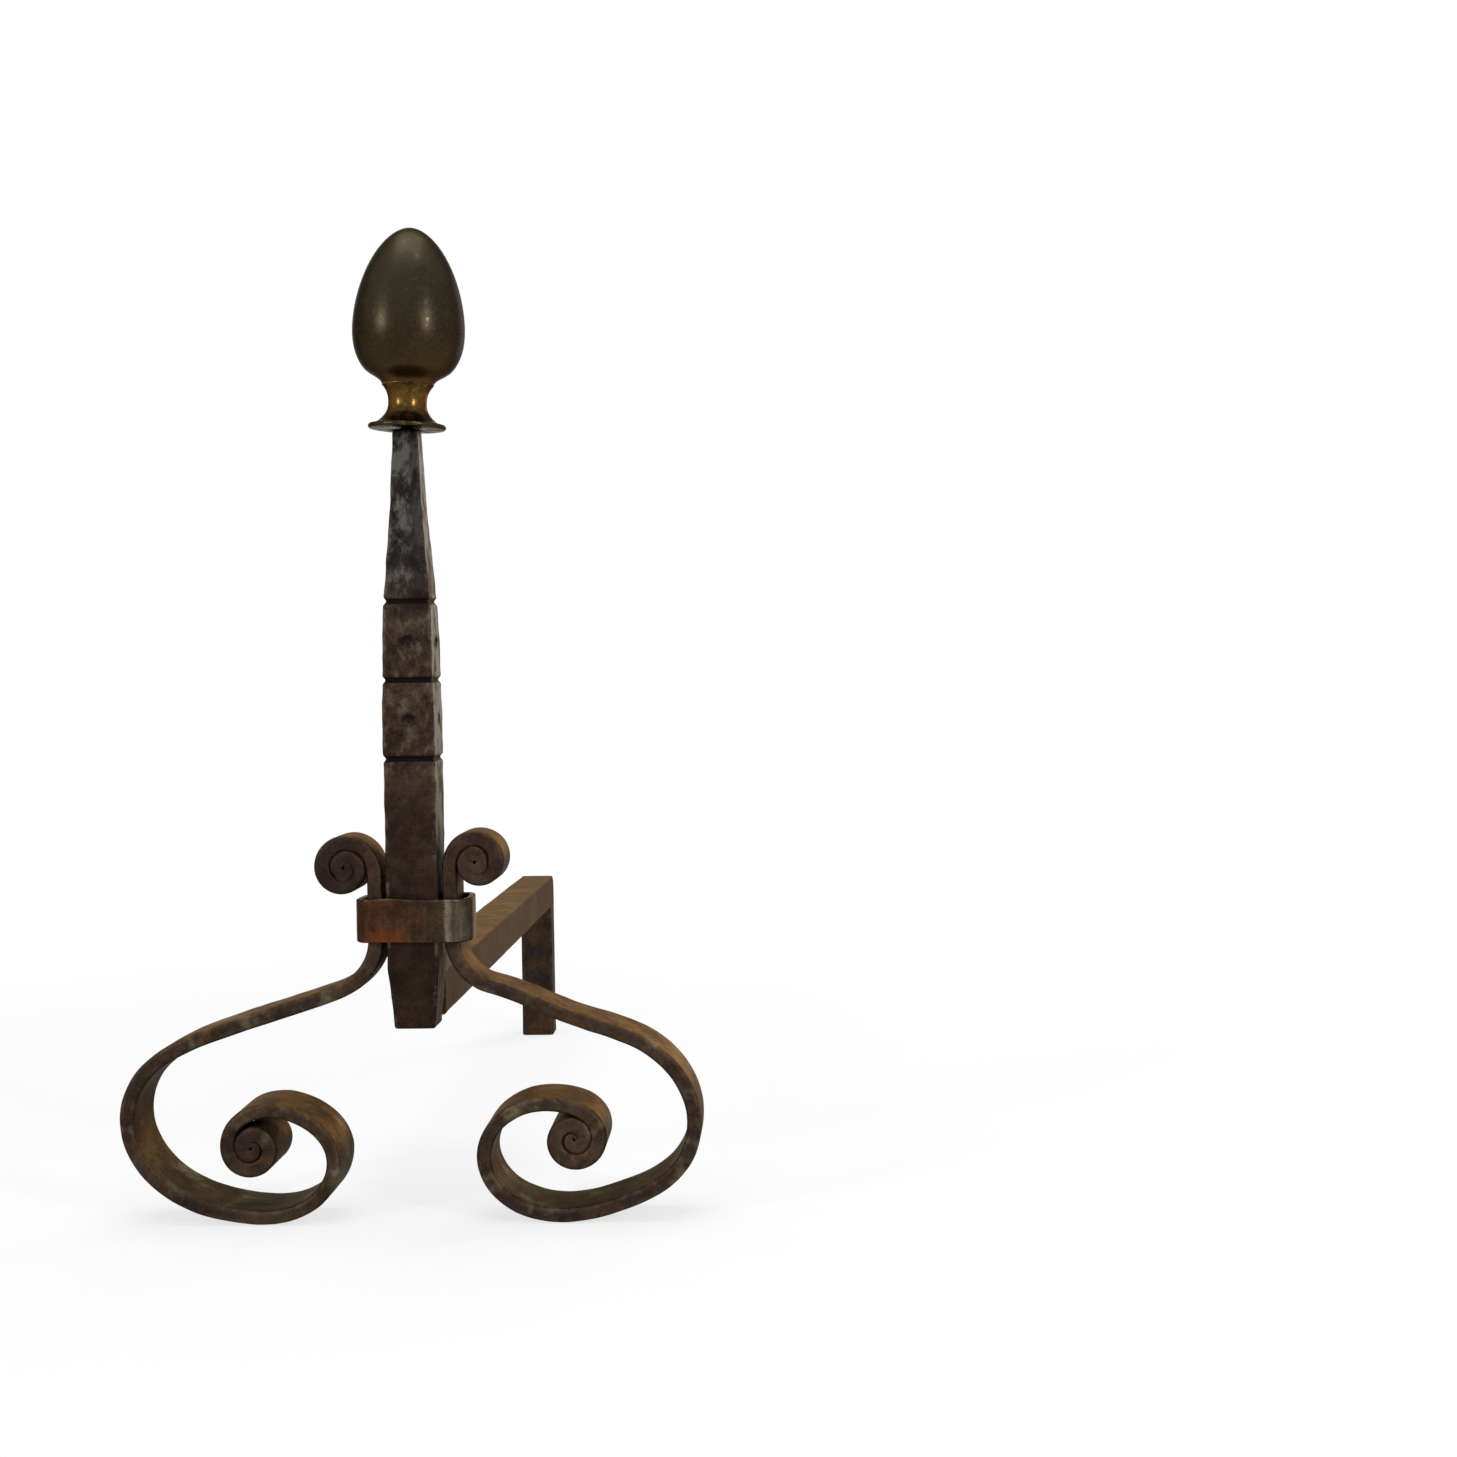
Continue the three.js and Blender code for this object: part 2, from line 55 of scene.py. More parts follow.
PICTURE_WIDTH = 1457
FOCAL_PIXELS = 2000
SENSOR_WIDTH = 36.0
CAMERA_FROM_POST = (174.9, -961.1, 262.9)
CAMERA_TURN_LEFT = math.radians(1.343)
CAMERA_TILT_DOWN = math.radians(1.696)
CAMERA_ROLL = math.radians(0.847)


def at(x, y, z):
    """A place, given in millimetres from where the post's axis meets the floor."""
    return Vector((POST_X, POST_Y, 0)) + Vector((x, y, z)) * MM


def stood(name, thing, place=None, turn=None):
    """Puts a mesh, a lamp or a camera into the scene as an object."""
    made = bpy.data.objects.new(name, thing)
    if place is not None:
        made.matrix_world = Matrix.Translation(place) @ turn
    bpy.context.scene.collection.objects.link(made)
    return made


def make_camera():
    data = bpy.data.cameras.new("camera")
    data.sensor_width = SENSOR_WIDTH
    data.lens = SENSOR_WIDTH * FOCAL_PIXELS / PICTURE_WIDTH
    data.clip_start, data.clip_end = 0.05, 50
    turn = (
        Matrix.Rotation(CAMERA_TURN_LEFT, 4, "Z")
        @ Matrix.Rotation(math.radians(90) - CAMERA_TILT_DOWN, 4, "X")
        @ Matrix.Rotation(-CAMERA_ROLL, 4, "Z")
    )
    bpy.context.scene.camera = stood("camera", data, at(*CAMERA_FROM_POST), turn)


make_camera()
bpy.context.scene.view_settings.view_transform = "Standard"

# ----------------------------------------
# Floor, background and light. A white room: the floor is pale, and what the camera or a polished
# surface sees beyond it is white. Soft lamps stand in front to the left and the right and behind
# on the right, and a broad one hangs overhead.
# ----------------------------------------

FLOOR_HALF = 6.0
FLOOR_COLOUR = (0.86, 0.86, 0.86, 1)
FLOOR_OWN_WHITE = 0.72
FLOOR_FADES_FROM, FLOOR_FADES_TO = 0.30, 0.85
ROOM_LIGHT = 0.42
WHITE = (1, 1, 1, 1)
LAMPS = {
    # name: (degrees to the right of the front, distance, height, what it aims at in millimetres,
    # width, tall, watts)
    "lamp_left": (-47, 1.5, 0.74, (0, 0, 250), 0.20, 0.28, 6.5),
    "lamp_right": (47, 1.5, 0.72, (0, 0, 250), 0.15, 0.34, 7.5),
    "lamp_side": (150, 1.6, 0.6, (0, 0, 250), 0.5, 0.9, 7),
    "lamp_above": (180, 0.1, 2.2, (0, 100, 0), 1.6, 1.6, 24),
}


def worked_out(operation, order=1):
    """Arithmetic as a method of values; order -1 swaps them."""
    return lambda *values: math_node(operation, *values[::order])


class Value:
    """An output of a node. Arithmetic with values adds the nodes that work it out."""

    def __init__(self, socket):
        self.socket, self.tree = socket, socket.id_data

    __add__, __sub__, __mul__ = map(worked_out, ("ADD", "SUBTRACT", "MULTIPLY"))
    __truediv__, __abs__ = map(worked_out, ("DIVIDE", "ABSOLUTE"))
    __rsub__, __rtruediv__ = worked_out("SUBTRACT", -1), worked_out("DIVIDE", -1)


class Outputs:
    """The outputs of a node, by name or by number."""

    def __init__(self, made):
        self.node = made

    def __getitem__(self, key):
        return Value(self.node.outputs[key])


def node(tree, kind, inputs=None, **settings):
    """Adds a node with its settings, and with its inputs as constants or as values to link."""
    made = tree.nodes.new(kind)
    for name, setting in settings.items():
        setattr(made, name, setting)
    for socket, value in (inputs or {}).items():
        if isinstance(value, Value):
            tree.links.new(value.socket, made.inputs[socket])
        else:
            made.inputs[socket].default_value = value
    return Outputs(made)


def math_node(operation, *values, **settings):
    tree = next(value.tree for value in values if isinstance(value, Value))
    inputs = dict(enumerate(values))
    return node(tree, "ShaderNodeMath", inputs, operation=operation, **settings)[0]


def highest(a, b):
    return math_node("MAXIMUM", a, b)


def vector_node(operation, a, b):
    slot = "Scale" if operation == "SCALE" else 1
    return node(a.tree, "ShaderNodeVectorMath", {0: a, slot: b}, operation=operation)["Vector"]


def length_of(vector):
    return node(vector.tree, "ShaderNodeVectorMath", {0: vector}, operation="LENGTH")["Value"]


def parts(vector):
    """The x, y and z of a vector."""
    made = node(vector.tree, "ShaderNodeSeparateXYZ", {0: vector})
    return made[0], made[1], made[2]


def eased(value, low, high, to_low=0.0, to_high=1.0):
    """value from low to high becomes to_low to to_high, with soft ends."""
    return node(value.tree, "ShaderNodeMapRange", {
        0: value, 1: low, 2: high, 3: to_low, 4: to_high,
    }, interpolation_type="SMOOTHSTEP")[0]


def seen_directly(tree):
    """1 for a ray from the camera, a mirror or glass, and 0 for one that carries light."""
    path = node(tree, "ShaderNodeLightPath")
    seen = highest(path["Is Camera Ray"], path["Is Glossy Ray"])
    return highest(seen, path["Is Transmission Ray"])


def make_room():
    world = bpy.data.worlds.new("white_room")
    world.use_nodes = True
    tree = world.node_tree
    tree.nodes.clear()
    light, white = (
        node(tree, "ShaderNodeBackground", {"Color": WHITE, "Strength": strength})[0]
        for strength in (ROOM_LIGHT, 1.0)
    )
    both = node(tree, "ShaderNodeMixShader", {0: seen_directly(tree), 1: light, 2: white})[0]
    node(tree, "ShaderNodeOutputWorld", {"Surface": both})
    bpy.context.scene.world = world


def make_floor():
    mesh = bpy.data.meshes.new("floor")
    h = FLOOR_HALF
    mesh.from_pydata([(-h, -h, 0), (h, -h, 0), (h, h, 0), (-h, h, 0)], [], [(0, 1, 2, 3)])
    material = bpy.data.materials.new("floor")
    material.use_nodes = True
    tree = material.node_tree
    tree.nodes.clear()
    paint = node(tree, "ShaderNodeBsdfDiffuse", {"Color": FLOOR_COLOUR})[0]
    white = node(tree, "ShaderNodeEmission", {"Color": WHITE, "Strength": 1.0})[0]
    away = length_of(node(tree, "ShaderNodeTexCoord")["Object"])
    share = eased(away, FLOOR_FADES_FROM, FLOOR_FADES_TO, FLOOR_OWN_WHITE, 1.0)
    share = seen_directly(tree) * share
    both = node(tree, "ShaderNodeMixShader", {0: share, 1: paint, 2: white})[0]
    node(tree, "ShaderNodeOutputMaterial", {"Surface": both})
    mesh.materials.append(material)
    stood("floor", mesh)


def make_lamp(name, bearing, distance, height, target, width, tall, watts):
    data = bpy.data.lights.new(name, "AREA")
    data.shape = "RECTANGLE"
    data.size, data.size_y = width, tall
    data.energy = watts
    side, front = math.sin(math.radians(bearing)), math.cos(math.radians(bearing))
    place = at(0, 0, 0) + Vector((distance * side, -distance * front, height))
    turn = (place - at(*target)).to_track_quat("Z", "Y").to_matrix().to_4x4()
    stood(name, data, place, turn)


make_room()
make_floor()
for lamp_name, lamp in LAMPS.items():
    make_lamp(lamp_name, *lamp)

# ----------------------------------------
# Post. A one-inch square bar of wrought iron. The smith drew its top out to a slim neck, cut
# three chisel grooves all round, punched a dimple in each panel between them and blunted the foot.
# ----------------------------------------

POST_SIZE = 25.4
POST_FOOT_Z = 92.5
POST_FOOT_SIZE = 20.0
POST_FOOT_TAPER = 30.0
POST_TOP_Z = 380.1
POST_NECK_SIZE = 12.4
POST_NECK_LENGTH = 34.0
POST_NECK_FOOT = 15.6
POST_EDGE = 1.4
POST_END_ROUND = 1.2
GROOVE_ZS = (297.6, 260.0, 222.4)
PANELS = tuple(zip(GROOVE_ZS[1:], GROOVE_ZS))
GROOVE_HALF_WIDTH = 1.35
GROOVE_DEPTH = 1.2
PANEL_BULGE = 0.35
TAPER_AT_TOP_GROOVE = 2.7
DIMPLE_RADIUS = 2.4
DIMPLE_DEPTH = 1.2
DIMPLE_RIM = 0.3
DIMPLE_RIM_WIDTH = 0.7
DIMPLE_SLIP = 0.5
STUD_BORE_RADIUS = 3.5
STUD_BORE_DEPTH = 24.3
FINIAL_LEAN = math.radians(2.1)
POST_STEP = 0.8
DIMPLE_STEP, DIMPLE_REACH = 0.4, 4.6
FINE_STEP, GROOVE_REACH, END_REACH = 0.3, 3.2, 1.6
# places across half a face, close together at its dimple
HALF_FACE = (
    0.045, 0.09, 0.13, 0.18, 0.23, 0.28, 0.34, 0.40, 0.46, 0.53, 0.60, 0.67, 0.74, 0.81, 0.88, 0.95,
)

# what each station of a forged bar says; its sizes are in millimetres
STATION_KEYS = ("centre", "out", "across", "half_out", "half_across", "edge", "worked")
X_AXIS, Y_AXIS, Z_AXIS = Vector((1, 0, 0)), Vector((0, 1, 0)), Vector((0, 0, 1))
IRON = {"IOR": 1.45, "Specular IOR Level": 0.25, "Specular Tint": (0.5, 0.44, 0.38, 1)}


def node_group(name, inputs):
    """A geometry node group with inputs of given names and kinds, and its input node."""
    tree = bpy.data.node_groups.new(name, "GeometryNodeTree")
    add = tree.interface.new_socket
    add(name="Geometry", in_out="OUTPUT", socket_type="NodeSocketGeometry")
    for key, kind in {"Geometry": "Geometry", **inputs}.items():
        add(name=key, in_out="INPUT", socket_type="NodeSocket" + kind)
    return tree, node(tree, "NodeGroupInput")


def give_out(geometry, material):
    """Ends a node group: the geometry is coated, made real and given out."""
    tree = geometry.tree
    coated = node(tree, "GeometryNodeSetMaterial", {"Geometry": geometry, "Material": material})[0]
    real = node(tree, "GeometryNodeRealizeInstances", {"Geometry": coated})[0]
    node(tree, "NodeGroupOutput", {"Geometry": real})


def stored(tree, name, kind="FLOAT"):
    return node(tree, "GeometryNodeInputNamedAttribute", {"Name": name}, data_type=kind)[0]


def store(geometry, name, value):
    return node(geometry.tree, "GeometryNodeStoreNamedAttribute", {
        "Geometry": geometry, "Name": name, "Value": value,
    }, data_type="FLOAT", domain="POINT")[0]


def forging_tree():
    """Geometry nodes that forge a bar. A section is swept along a line, sized at each station by
    the line's own values, and then dressed inwards by hammer blows and by uneven handwork."""
    tree, given = node_group("forge_bar", {
        "Section": "Object", "Material": "Material", "Blow Size": "Float", "Blow Depth": "Float",
        "Wave Size": "Float", "Wave Depth": "Float", "Seed": "Float",
    })
    line = node(tree, "GeometryNodeMeshToCurve", {"Mesh": given["Geometry"]})[0]
    section = node(tree, "GeometryNodeObjectInfo", {"Object": given["Section"]})["Geometry"]
    loop = node(tree, "GeometryNodeMeshToCurve", {"Mesh": section})[0]
    swept = node(tree, "GeometryNodeCurveToMesh", {
        "Curve": line, "Profile Curve": loop, "Fill Caps": True,
    })[0]
    side = parts(stored(tree, "side", "FLOAT_VECTOR"))
    turn = parts(stored(tree, "turn", "FLOAT_VECTOR"))
    place = stored(tree, "centre", "FLOAT_VECTOR")
    facing, to_edge = None, 0.0
    for axis, direction in enumerate(("out", "across")):
        way = stored(tree, direction, "FLOAT_VECTOR")
        size = stored(tree, "half_" + direction)
        radius = math_node("MINIMUM", stored(tree, "edge"), size)
        reach = side[axis] * (size - radius) + turn[axis] * radius
        place = vector_node("ADD", place, vector_node("SCALE", way, reach))
        turned = vector_node("SCALE", way, turn[axis])
        facing = vector_node("ADD", facing, turned) if facing else turned
        to_edge = highest(to_edge, (1.0 - abs(side[axis])) * size)
    shaped = node(tree, "GeometryNodeSetPosition", {"Geometry": swept, "Position": place})[0]
    shift = node(tree, "ShaderNodeCombineXYZ", {0: given["Seed"]})[0]
    where = vector_node("ADD", node(tree, "GeometryNodeInputPosition")[0], shift)
    off_centre = node(tree, "ShaderNodeTexVoronoi", {
        "Vector": where, "Scale": 1.0 / given["Blow Size"], "Smoothness": 0.3,
    }, feature="SMOOTH_F1")["Distance"] * 1.5
    pressed = math_node("SUBTRACT", 1.0, off_centre * off_centre, use_clamp=True)
    waves = node(tree, "ShaderNodeTexNoise", {
        "Vector": where, "Scale": 1.0 / given["Wave Size"], "Detail": 1.0,
    })[0]
    worked = stored(tree, "worked")
    depth = pressed * given["Blow Depth"] + waves * given["Wave Depth"]
    marked = store(shaped, "pressed", pressed)
    edged = store(marked, "arris", to_edge + (1.0 - worked) * (3 * MM))
    dressed = node(tree, "GeometryNodeSetPosition", {
        "Geometry": edged, "Offset": vector_node("SCALE", facing, depth * worked * -1.0),
    })[0]
    give_out(node(tree, "GeometryNodeSetShadeSmooth", {"Geometry": dressed})[0], given["Material"])
    return tree


def line_object(name, points, values, closed=False):
    """A line of joined points as an object, with values of its own at each point."""
    mesh = bpy.data.meshes.new(name)
    count = len(points)
    edges = [(i, i + 1) for i in range(count - 1)] + ([(count - 1, 0)] if closed else [])
    mesh.from_pydata([tuple(p) for p in points], edges, [])
    for key, column in values.items():
        column = np.asarray([tuple(v) if isinstance(v, Vector) else v for v in column], np.float32)
        kind, field = ("FLOAT_VECTOR", "vector") if column.ndim == 2 else ("FLOAT", "value")
        mesh.attributes.new(key, kind, "POINT").data.foreach_set(field, column.ravel())
    return stood(name, mesh)


def section_object(name, out_shares, across_shares, corner_points=4):
    """A bar's section as a unit square with turned corners, with points on its faces at the given
    shares of a side. side is a point's place on the square, and turn is the way that it faces."""
    corners = [(1, -1), (1, 1), (-1, 1), (-1, -1)]
    side, turn = [], []
    for i, (out, across) in enumerate(corners):
        for k in range(corner_points + 1):
            angle = math.radians(90 * (i - 1 + k / corner_points))
            side.append((out, across, 0))
            turn.append((math.cos(angle), math.sin(angle), 0))
        next_out, next_across = corners[(i + 1) % 4]
        for share in across_shares if i % 2 == 0 else out_shares:
            side.append((
                out + (next_out - out) * share, across + (next_across - across) * share, 0,
            ))
            turn.append(turn[-1])
    points = [(s[0] + t[0], s[1] + t[1], 0) for s, t in zip(side, turn)]
    return line_object(name, points, {"side": side, "turn": turn}, closed=True)


def grown(line, group, values):
    """The plain mesh that a node group grows from a line, which isn't kept."""
    modifier = line.modifiers.new("grow", "NODES")
    modifier.node_group = group
    for item in group.interface.items_tree:
        if item.in_out == "INPUT" and item.name in values:
            modifier[item.identifier] = values[item.name]
    graph = bpy.context.evaluated_depsgraph_get()
    mesh = bpy.data.meshes.new_from_object(line.evaluated_get(graph))
    bpy.data.objects.remove(line)
    return mesh


def finish_piece(name, mesh, body, slot, *cad_nodes):
    """Turns every face of a closed mesh outwards, going by the sign of its volume, and makes it a
    piece: what it rides on and the CAD nodes that it stands for. slot, its finish, is not used."""
    mesh.calc_loop_triangles()
    points = np.array([v.co for v in mesh.vertices])
    corners = points[np.array([t.vertices for t in mesh.loop_triangles])]
    volume = np.einsum("ij,ij->i", corners[:, 0], np.cross(corners[:, 1], corners[:, 2])).sum()
    if volume < 0:
        mesh.flip_normals()
    made = stood(name, mesh)
    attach(made, body)
    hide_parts(*cad_nodes)


def forge(stations, section, material, blow, wave, seed):
    """The mesh of a bar forged along its stations, each of which says what STATION_KEYS names.
    blow and wave are (size, depth) of the marks in millimetres."""
    columns = {key: [station[i] for station in stations] for i, key in enumerate(STATION_KEYS)}
    for key in ("half_out", "half_across", "edge"):
        columns[key] = [size * MM for size in columns[key]]
    mesh = grown(line_object("bar_line", columns["centre"], columns), FORGE, {
        "Section": section, "Material": material, "Seed": seed,
        "Blow Size": blow[0] * MM, "Blow Depth": blow[1] * MM,
        "Wave Size": wave[0] * MM, "Wave Depth": wave[1] * MM,
    })
    for key in (*STATION_KEYS, "side", "turn"):
        if key in mesh.attributes:
            mesh.attributes.remove(mesh.attributes[key])
    bpy.data.objects.remove(section)
    return mesh


def value_along(pairs, s):
    """The value at s, running evenly between (distance, value) pairs and constant outside them."""
    return float(np.interp(s, [p[0] for p in pairs], [p[1] for p in pairs]))


def drawn_in(distance, radius):
    """How far a bar is drawn in at a distance from its end, so that the end's edge is rounded."""
    left = min(max(radius - distance, 0.0), radius)
    return radius - math.sqrt(radius ** 2 - left ** 2)


def colour(shade):
    """A value as it is, or a colour as a screen shows it, 0 to 255, in linear light."""
    if isinstance(shade, Value):
        return shade
    return tuple(
        c / 12.92 if c <= 0.04045 else ((c + 0.055) / 1.055) ** 2.4
        for c in (part / 255 for part in shade)
    ) + (1.0,)


def new_material(name):
    """A material, and the place of a point on it as a value."""
    material = bpy.data.materials.new(name)
    material.use_nodes = True
    return material, node(material.node_tree, "ShaderNodeTexCoord")["Object"]


def facing(where, axis):
    """The x, y or z of the way that a point faces."""
    return parts(node(where.tree, "ShaderNodeTexCoord")["Normal"])[axis]


def finished(material, constants, tone, rough, metal, height, relief):
    """Sets the material's one glossy shader. Constants go on the shader itself, and relief is the
    millimetres that a height of 1 stands out."""
    tree = material.node_tree
    shader = tree.nodes["Principled BSDF"]
    for socket, constant in constants.items():
        shader.inputs[socket].default_value = constant
    bump = node(tree, "ShaderNodeBump", {
        "Height": height, "Strength": 1.0, "Distance": relief * MM,
    })[0]
    for socket, value in (
        ("Base Color", tone), ("Roughness", rough), ("Metallic", metal), ("Normal", bump),
    ):
        tree.links.new(value.socket, shader.inputs[socket])
    return material


def mix(share, a, b):
    """Colour a where share is 0, and b where it is 1."""
    return node(share.tree, "ShaderNodeMix", {
        0: share, 6: colour(a), 7: colour(b),
    }, data_type="RGBA")[2]


def ramp(value, *stops):
    """A colour that runs through (place, colour) stops."""
    made = node(value.tree, "ShaderNodeValToRGB", {0: value})
    elements = made.node.color_ramp.elements
    while len(elements) < len(stops):
        elements.new(0.5)
    for element, (place, shade) in zip(elements, stops):
        element.position, element.color = place, colour(shade)
    return made[0]


def mapped(where, size, stretch=(1, 1, 1), shift=(0, 0, 0)):
    """A place scaled so that a texture's features come out at a size in millimetres."""
    return node(where.tree, "ShaderNodeMapping", {
        "Vector": where, "Location": shift, "Scale": tuple(1 / (size * MM * s) for s in stretch),
    })[0]


def noise(where, size, detail=4.0, rough=0.55, stretch=(1, 1, 1), shift=0.0):
    """Cloudy noise with features of a size in millimetres, drawn out along the axes by stretch."""
    return node(where.tree, "ShaderNodeTexNoise", {
        "Vector": mapped(where, size, stretch, (shift, shift * 0.7, shift * 1.3)),
        "Scale": 1.0, "Detail": detail, "Roughness": rough,
    })[0]


def height_of(where, low, high):
    """0 at height low and 1 at height high, in millimetres."""
    return node(where.tree, "ShaderNodeMapRange", {
        0: parts(where)[2], 1: low * MM, 2: high * MM,
    })[0]


def weathered(
    where, base, dark, rust, bare, rust_from, bare_from, edge_width, seed, edge_wear, rough,
    rusty_rough=0.12,
):
    """Weathers a colour of wrought iron. Soft dark stains, brown rust and dark pits lie on it, and
    the scale is rubbed off its arrises and its high spots. rough is its smoothest and its roughest,
    and rusty_rough is what rust adds. Returns colour, roughness, how bare it is and height."""
    cloud = noise(where, 15, 6, 0.66, shift=seed)
    tone = mix(eased(cloud, 0.38, 0.64, 0.0, 0.65), base, dark)
    rusting = eased(noise(where, 11, 6, 0.65, shift=seed + 3), rust_from, rust_from + 0.12)
    tone = mix(rusting * 0.8, tone, rust)
    speck = noise(where, 1.5, 4, 0.7, shift=seed + 5)
    patch = noise(where, 6, 6, 0.70, shift=seed + 9)
    shade = eased(speck, 0.25, 0.75, 0.78, 1.22) * eased(patch, 0.3, 0.7, 0.78, 1.22)
    tone = vector_node("SCALE", tone, shade)
    arris, pressed = (
        node(where.tree, "ShaderNodeAttribute", attribute_name=name)["Fac"]
        for name in ("arris", "pressed")
    )
    broken = eased(noise(where, 6, 4, 0.6, shift=seed + 12), 0.46, 0.64, 0.0, edge_wear)
    rubbed = highest(
        eased(patch, bare_from, bare_from + 0.10), eased(arris, edge_width * MM, 0.0) * broken
    )
    rubbed = rubbed * eased(pressed, 1.0, 0.2, 0.5, 1.0)
    tone = mix(rubbed * 0.75, tone, bare)
    pits = node(where.tree, "ShaderNodeTexVoronoi", {
        "Vector": mapped(where, 3.6, shift=(seed, seed, seed)), "Scale": 1.0,
    })["Distance"]
    pitted = eased(pits, 0.24, 0.10) * eased(noise(where, 14, 2, shift=seed + 15), 0.44, 0.58)
    tone = mix(pitted * 0.75, tone, dark)
    height = speck * 0.30 + patch * 0.45 + noise(where, 3.2, 4, 0.6, shift=seed + 20) * 0.45
    height = height - pitted * 0.6
    roughness = eased(height, 0.3, 0.9, *rough) + rusting * rusty_rough
    return tone, roughness, rubbed, height


def post_finish():
    material, where = new_material("post_iron")
    x, y, z = parts(where)
    up = height_of(where, 90, 382)
    base = ramp(
        up, (0.00, (48, 36, 27)), (0.14, (42, 30, 25)), (0.30, (54, 40, 33)), (0.44, (62, 48, 39)),
        (0.60, (62, 50, 41)), (0.70, (56, 46, 40)), (0.76, (42, 38, 37)), (1.00, (38, 35, 36)),
    )
    tone, rough, rubbed, height = weathered(
        where, base, (28, 19, 18), (66, 42, 28), (104, 90, 74), 0.60, 0.68, 1.5, 0.4, 0.6,
        (0.40, 0.60), 0.14,
    )
    in_panels = eased(up, 0.40, 0.46) * eased(up, 0.74, 0.70)
    mottling = noise(where, 7, 7, 0.7, stretch=(1, 1, 1.5), shift=6.2)
    tone = mix(in_panels * eased(mottling, 0.50, 0.63, 0, 0.7), tone, (94, 80, 64))
    tone = mix(in_panels * eased(mottling, 0.48, 0.38, 0, 0.8), tone, (34, 24, 20))
    silver = eased(noise(where, 9, 8, 0.76, stretch=(1, 1, 1.7), shift=8.1), 0.46, 0.60)
    on_left = eased(x + mottling * (8 * MM), POST_X + 5 * MM, POST_X + 8 * MM, 1, 0.35)
    silver = silver * eased(up, 0.70, 0.76) * on_left
    tone = mix(silver * 0.85, tone, (88, 86, 81))
    # Painted sheen: faces that look to either side (along x) get streaks of bright grey, more of
    # them higher up, standing for light glancing off the sides; the same streaks are made more
    # metallic.
    side_face_sheen = eased(abs(facing(where, 0)), 0.7, 0.95) * eased(
        noise(where, 7, 7, 0.7, stretch=(1, 1, 2.2), shift=5.5), 0.42, 0.53
    ) * eased(up, 0.10, 0.55, 0.12, 1.0)
    tone = mix(side_face_sheen * 0.8, tone, (118, 118, 116))
    # Painted shade: the three grooves and a ragged patch round each dimple are darkened to near
    # black.
    groove_and_dimple_shade = 0.0
    for groove in GROOVE_ZS:
        groove_and_dimple_shade = highest(groove_and_dimple_shade, eased(abs(z - groove * MM), 1.9 * MM, 0.9 * MM))
    aside = math_node("MINIMUM", abs(x - POST_X), abs(y - POST_Y))
    ragged = noise(where, 4, 5, 0.7, shift=3.3) * (7 * MM)
    for low, high in PANELS:
        from_dimple = node(material.node_tree, "ShaderNodeCombineXYZ", {
            0: aside, 1: z - (low + high) / 2 * MM,
        })[0]
        off = length_of(from_dimple) + ragged
        groove_and_dimple_shade = highest(groove_and_dimple_shade, eased(off, 8.2 * MM, 5.4 * MM, 0.0, 0.85))
    tone = mix(groove_and_dimple_shade, tone, (22, 15, 13))
    metal = eased(highest(highest(rubbed, silver), side_face_sheen), 0, 1, 0.86, 1.0)
    return finished(material, IRON, tone, rough, metal, height, 0.4)


def post_width(z):
    top_groove, _, low_groove = GROOVE_ZS
    return value_along([
        (POST_FOOT_Z, POST_FOOT_SIZE), (POST_FOOT_Z + POST_FOOT_TAPER, POST_SIZE),
        (low_groove, POST_SIZE),
        ((low_groove + top_groove) / 2, POST_SIZE - 0.3 * TAPER_AT_TOP_GROOVE),
        (top_groove, POST_SIZE - TAPER_AT_TOP_GROOVE),
        (POST_TOP_Z - POST_NECK_LENGTH, POST_NECK_FOOT), (POST_TOP_Z, POST_NECK_SIZE),
    ], z)


def post_relief(z):
    """How far the post swells or is cut in at a height, all round."""
    relief = 0.0
    for groove in GROOVE_ZS:
        relief -= GROOVE_DEPTH * math.exp(-(abs(z - groove) / GROOVE_HALF_WIDTH) ** 2.4)
    for low, high in PANELS:
        if low < z < high:
            share = (z - low) / (high - low)
            relief += PANEL_BULGE * 4 * share * (1 - share)
    return relief


def post_station(z, half, edge, worked, lean=0.0):
    shift = (z - POST_TOP_Z) * math.tan(lean)
    return at(shift, 0, z), -Y_AXIS, X_AXIS, half, half, edge, worked


def post_stations():
    zs = [POST_FOOT_Z]
    while zs[-1] < POST_TOP_Z - 0.01:
        z, step = zs[-1], POST_STEP
        if min(abs(z - (low + high) / 2) for low, high in PANELS) < DIMPLE_REACH:
            step = DIMPLE_STEP
        if min(abs(z - g) for g in GROOVE_ZS) < GROOVE_REACH:
            step = FINE_STEP
        if min(z - POST_FOOT_Z, POST_TOP_Z - z) < END_REACH:
            step = FINE_STEP
        zs.append(min(POST_TOP_Z, z + step))
    stations = []
    for z in zs:
        half = post_width(z) / 2 + post_relief(z)
        half -= drawn_in(min(z - POST_FOOT_Z, POST_TOP_Z - z), POST_END_ROUND)
        worked = value_along([(0, 0.25), (4, 1.0)], min(abs(z - g) for g in GROOVE_ZS))
        stations.append(post_station(z, half, POST_EDGE * half / (POST_SIZE / 2), worked))
    top_half = stations[-1][3]
    for share in (0.35, 0.7):
        half = top_half + (STUD_BORE_RADIUS - top_half) * share
        stations.append(post_station(POST_TOP_Z, half, POST_EDGE * 0.5 + half * share * 0.6, 0))
    for depth in (0, 6, 12, 18, STUD_BORE_DEPTH):
        stations.append(post_station(
            POST_TOP_Z - depth, STUD_BORE_RADIUS, STUD_BORE_RADIUS, 0, FINIAL_LEAN
        ))
    return stations


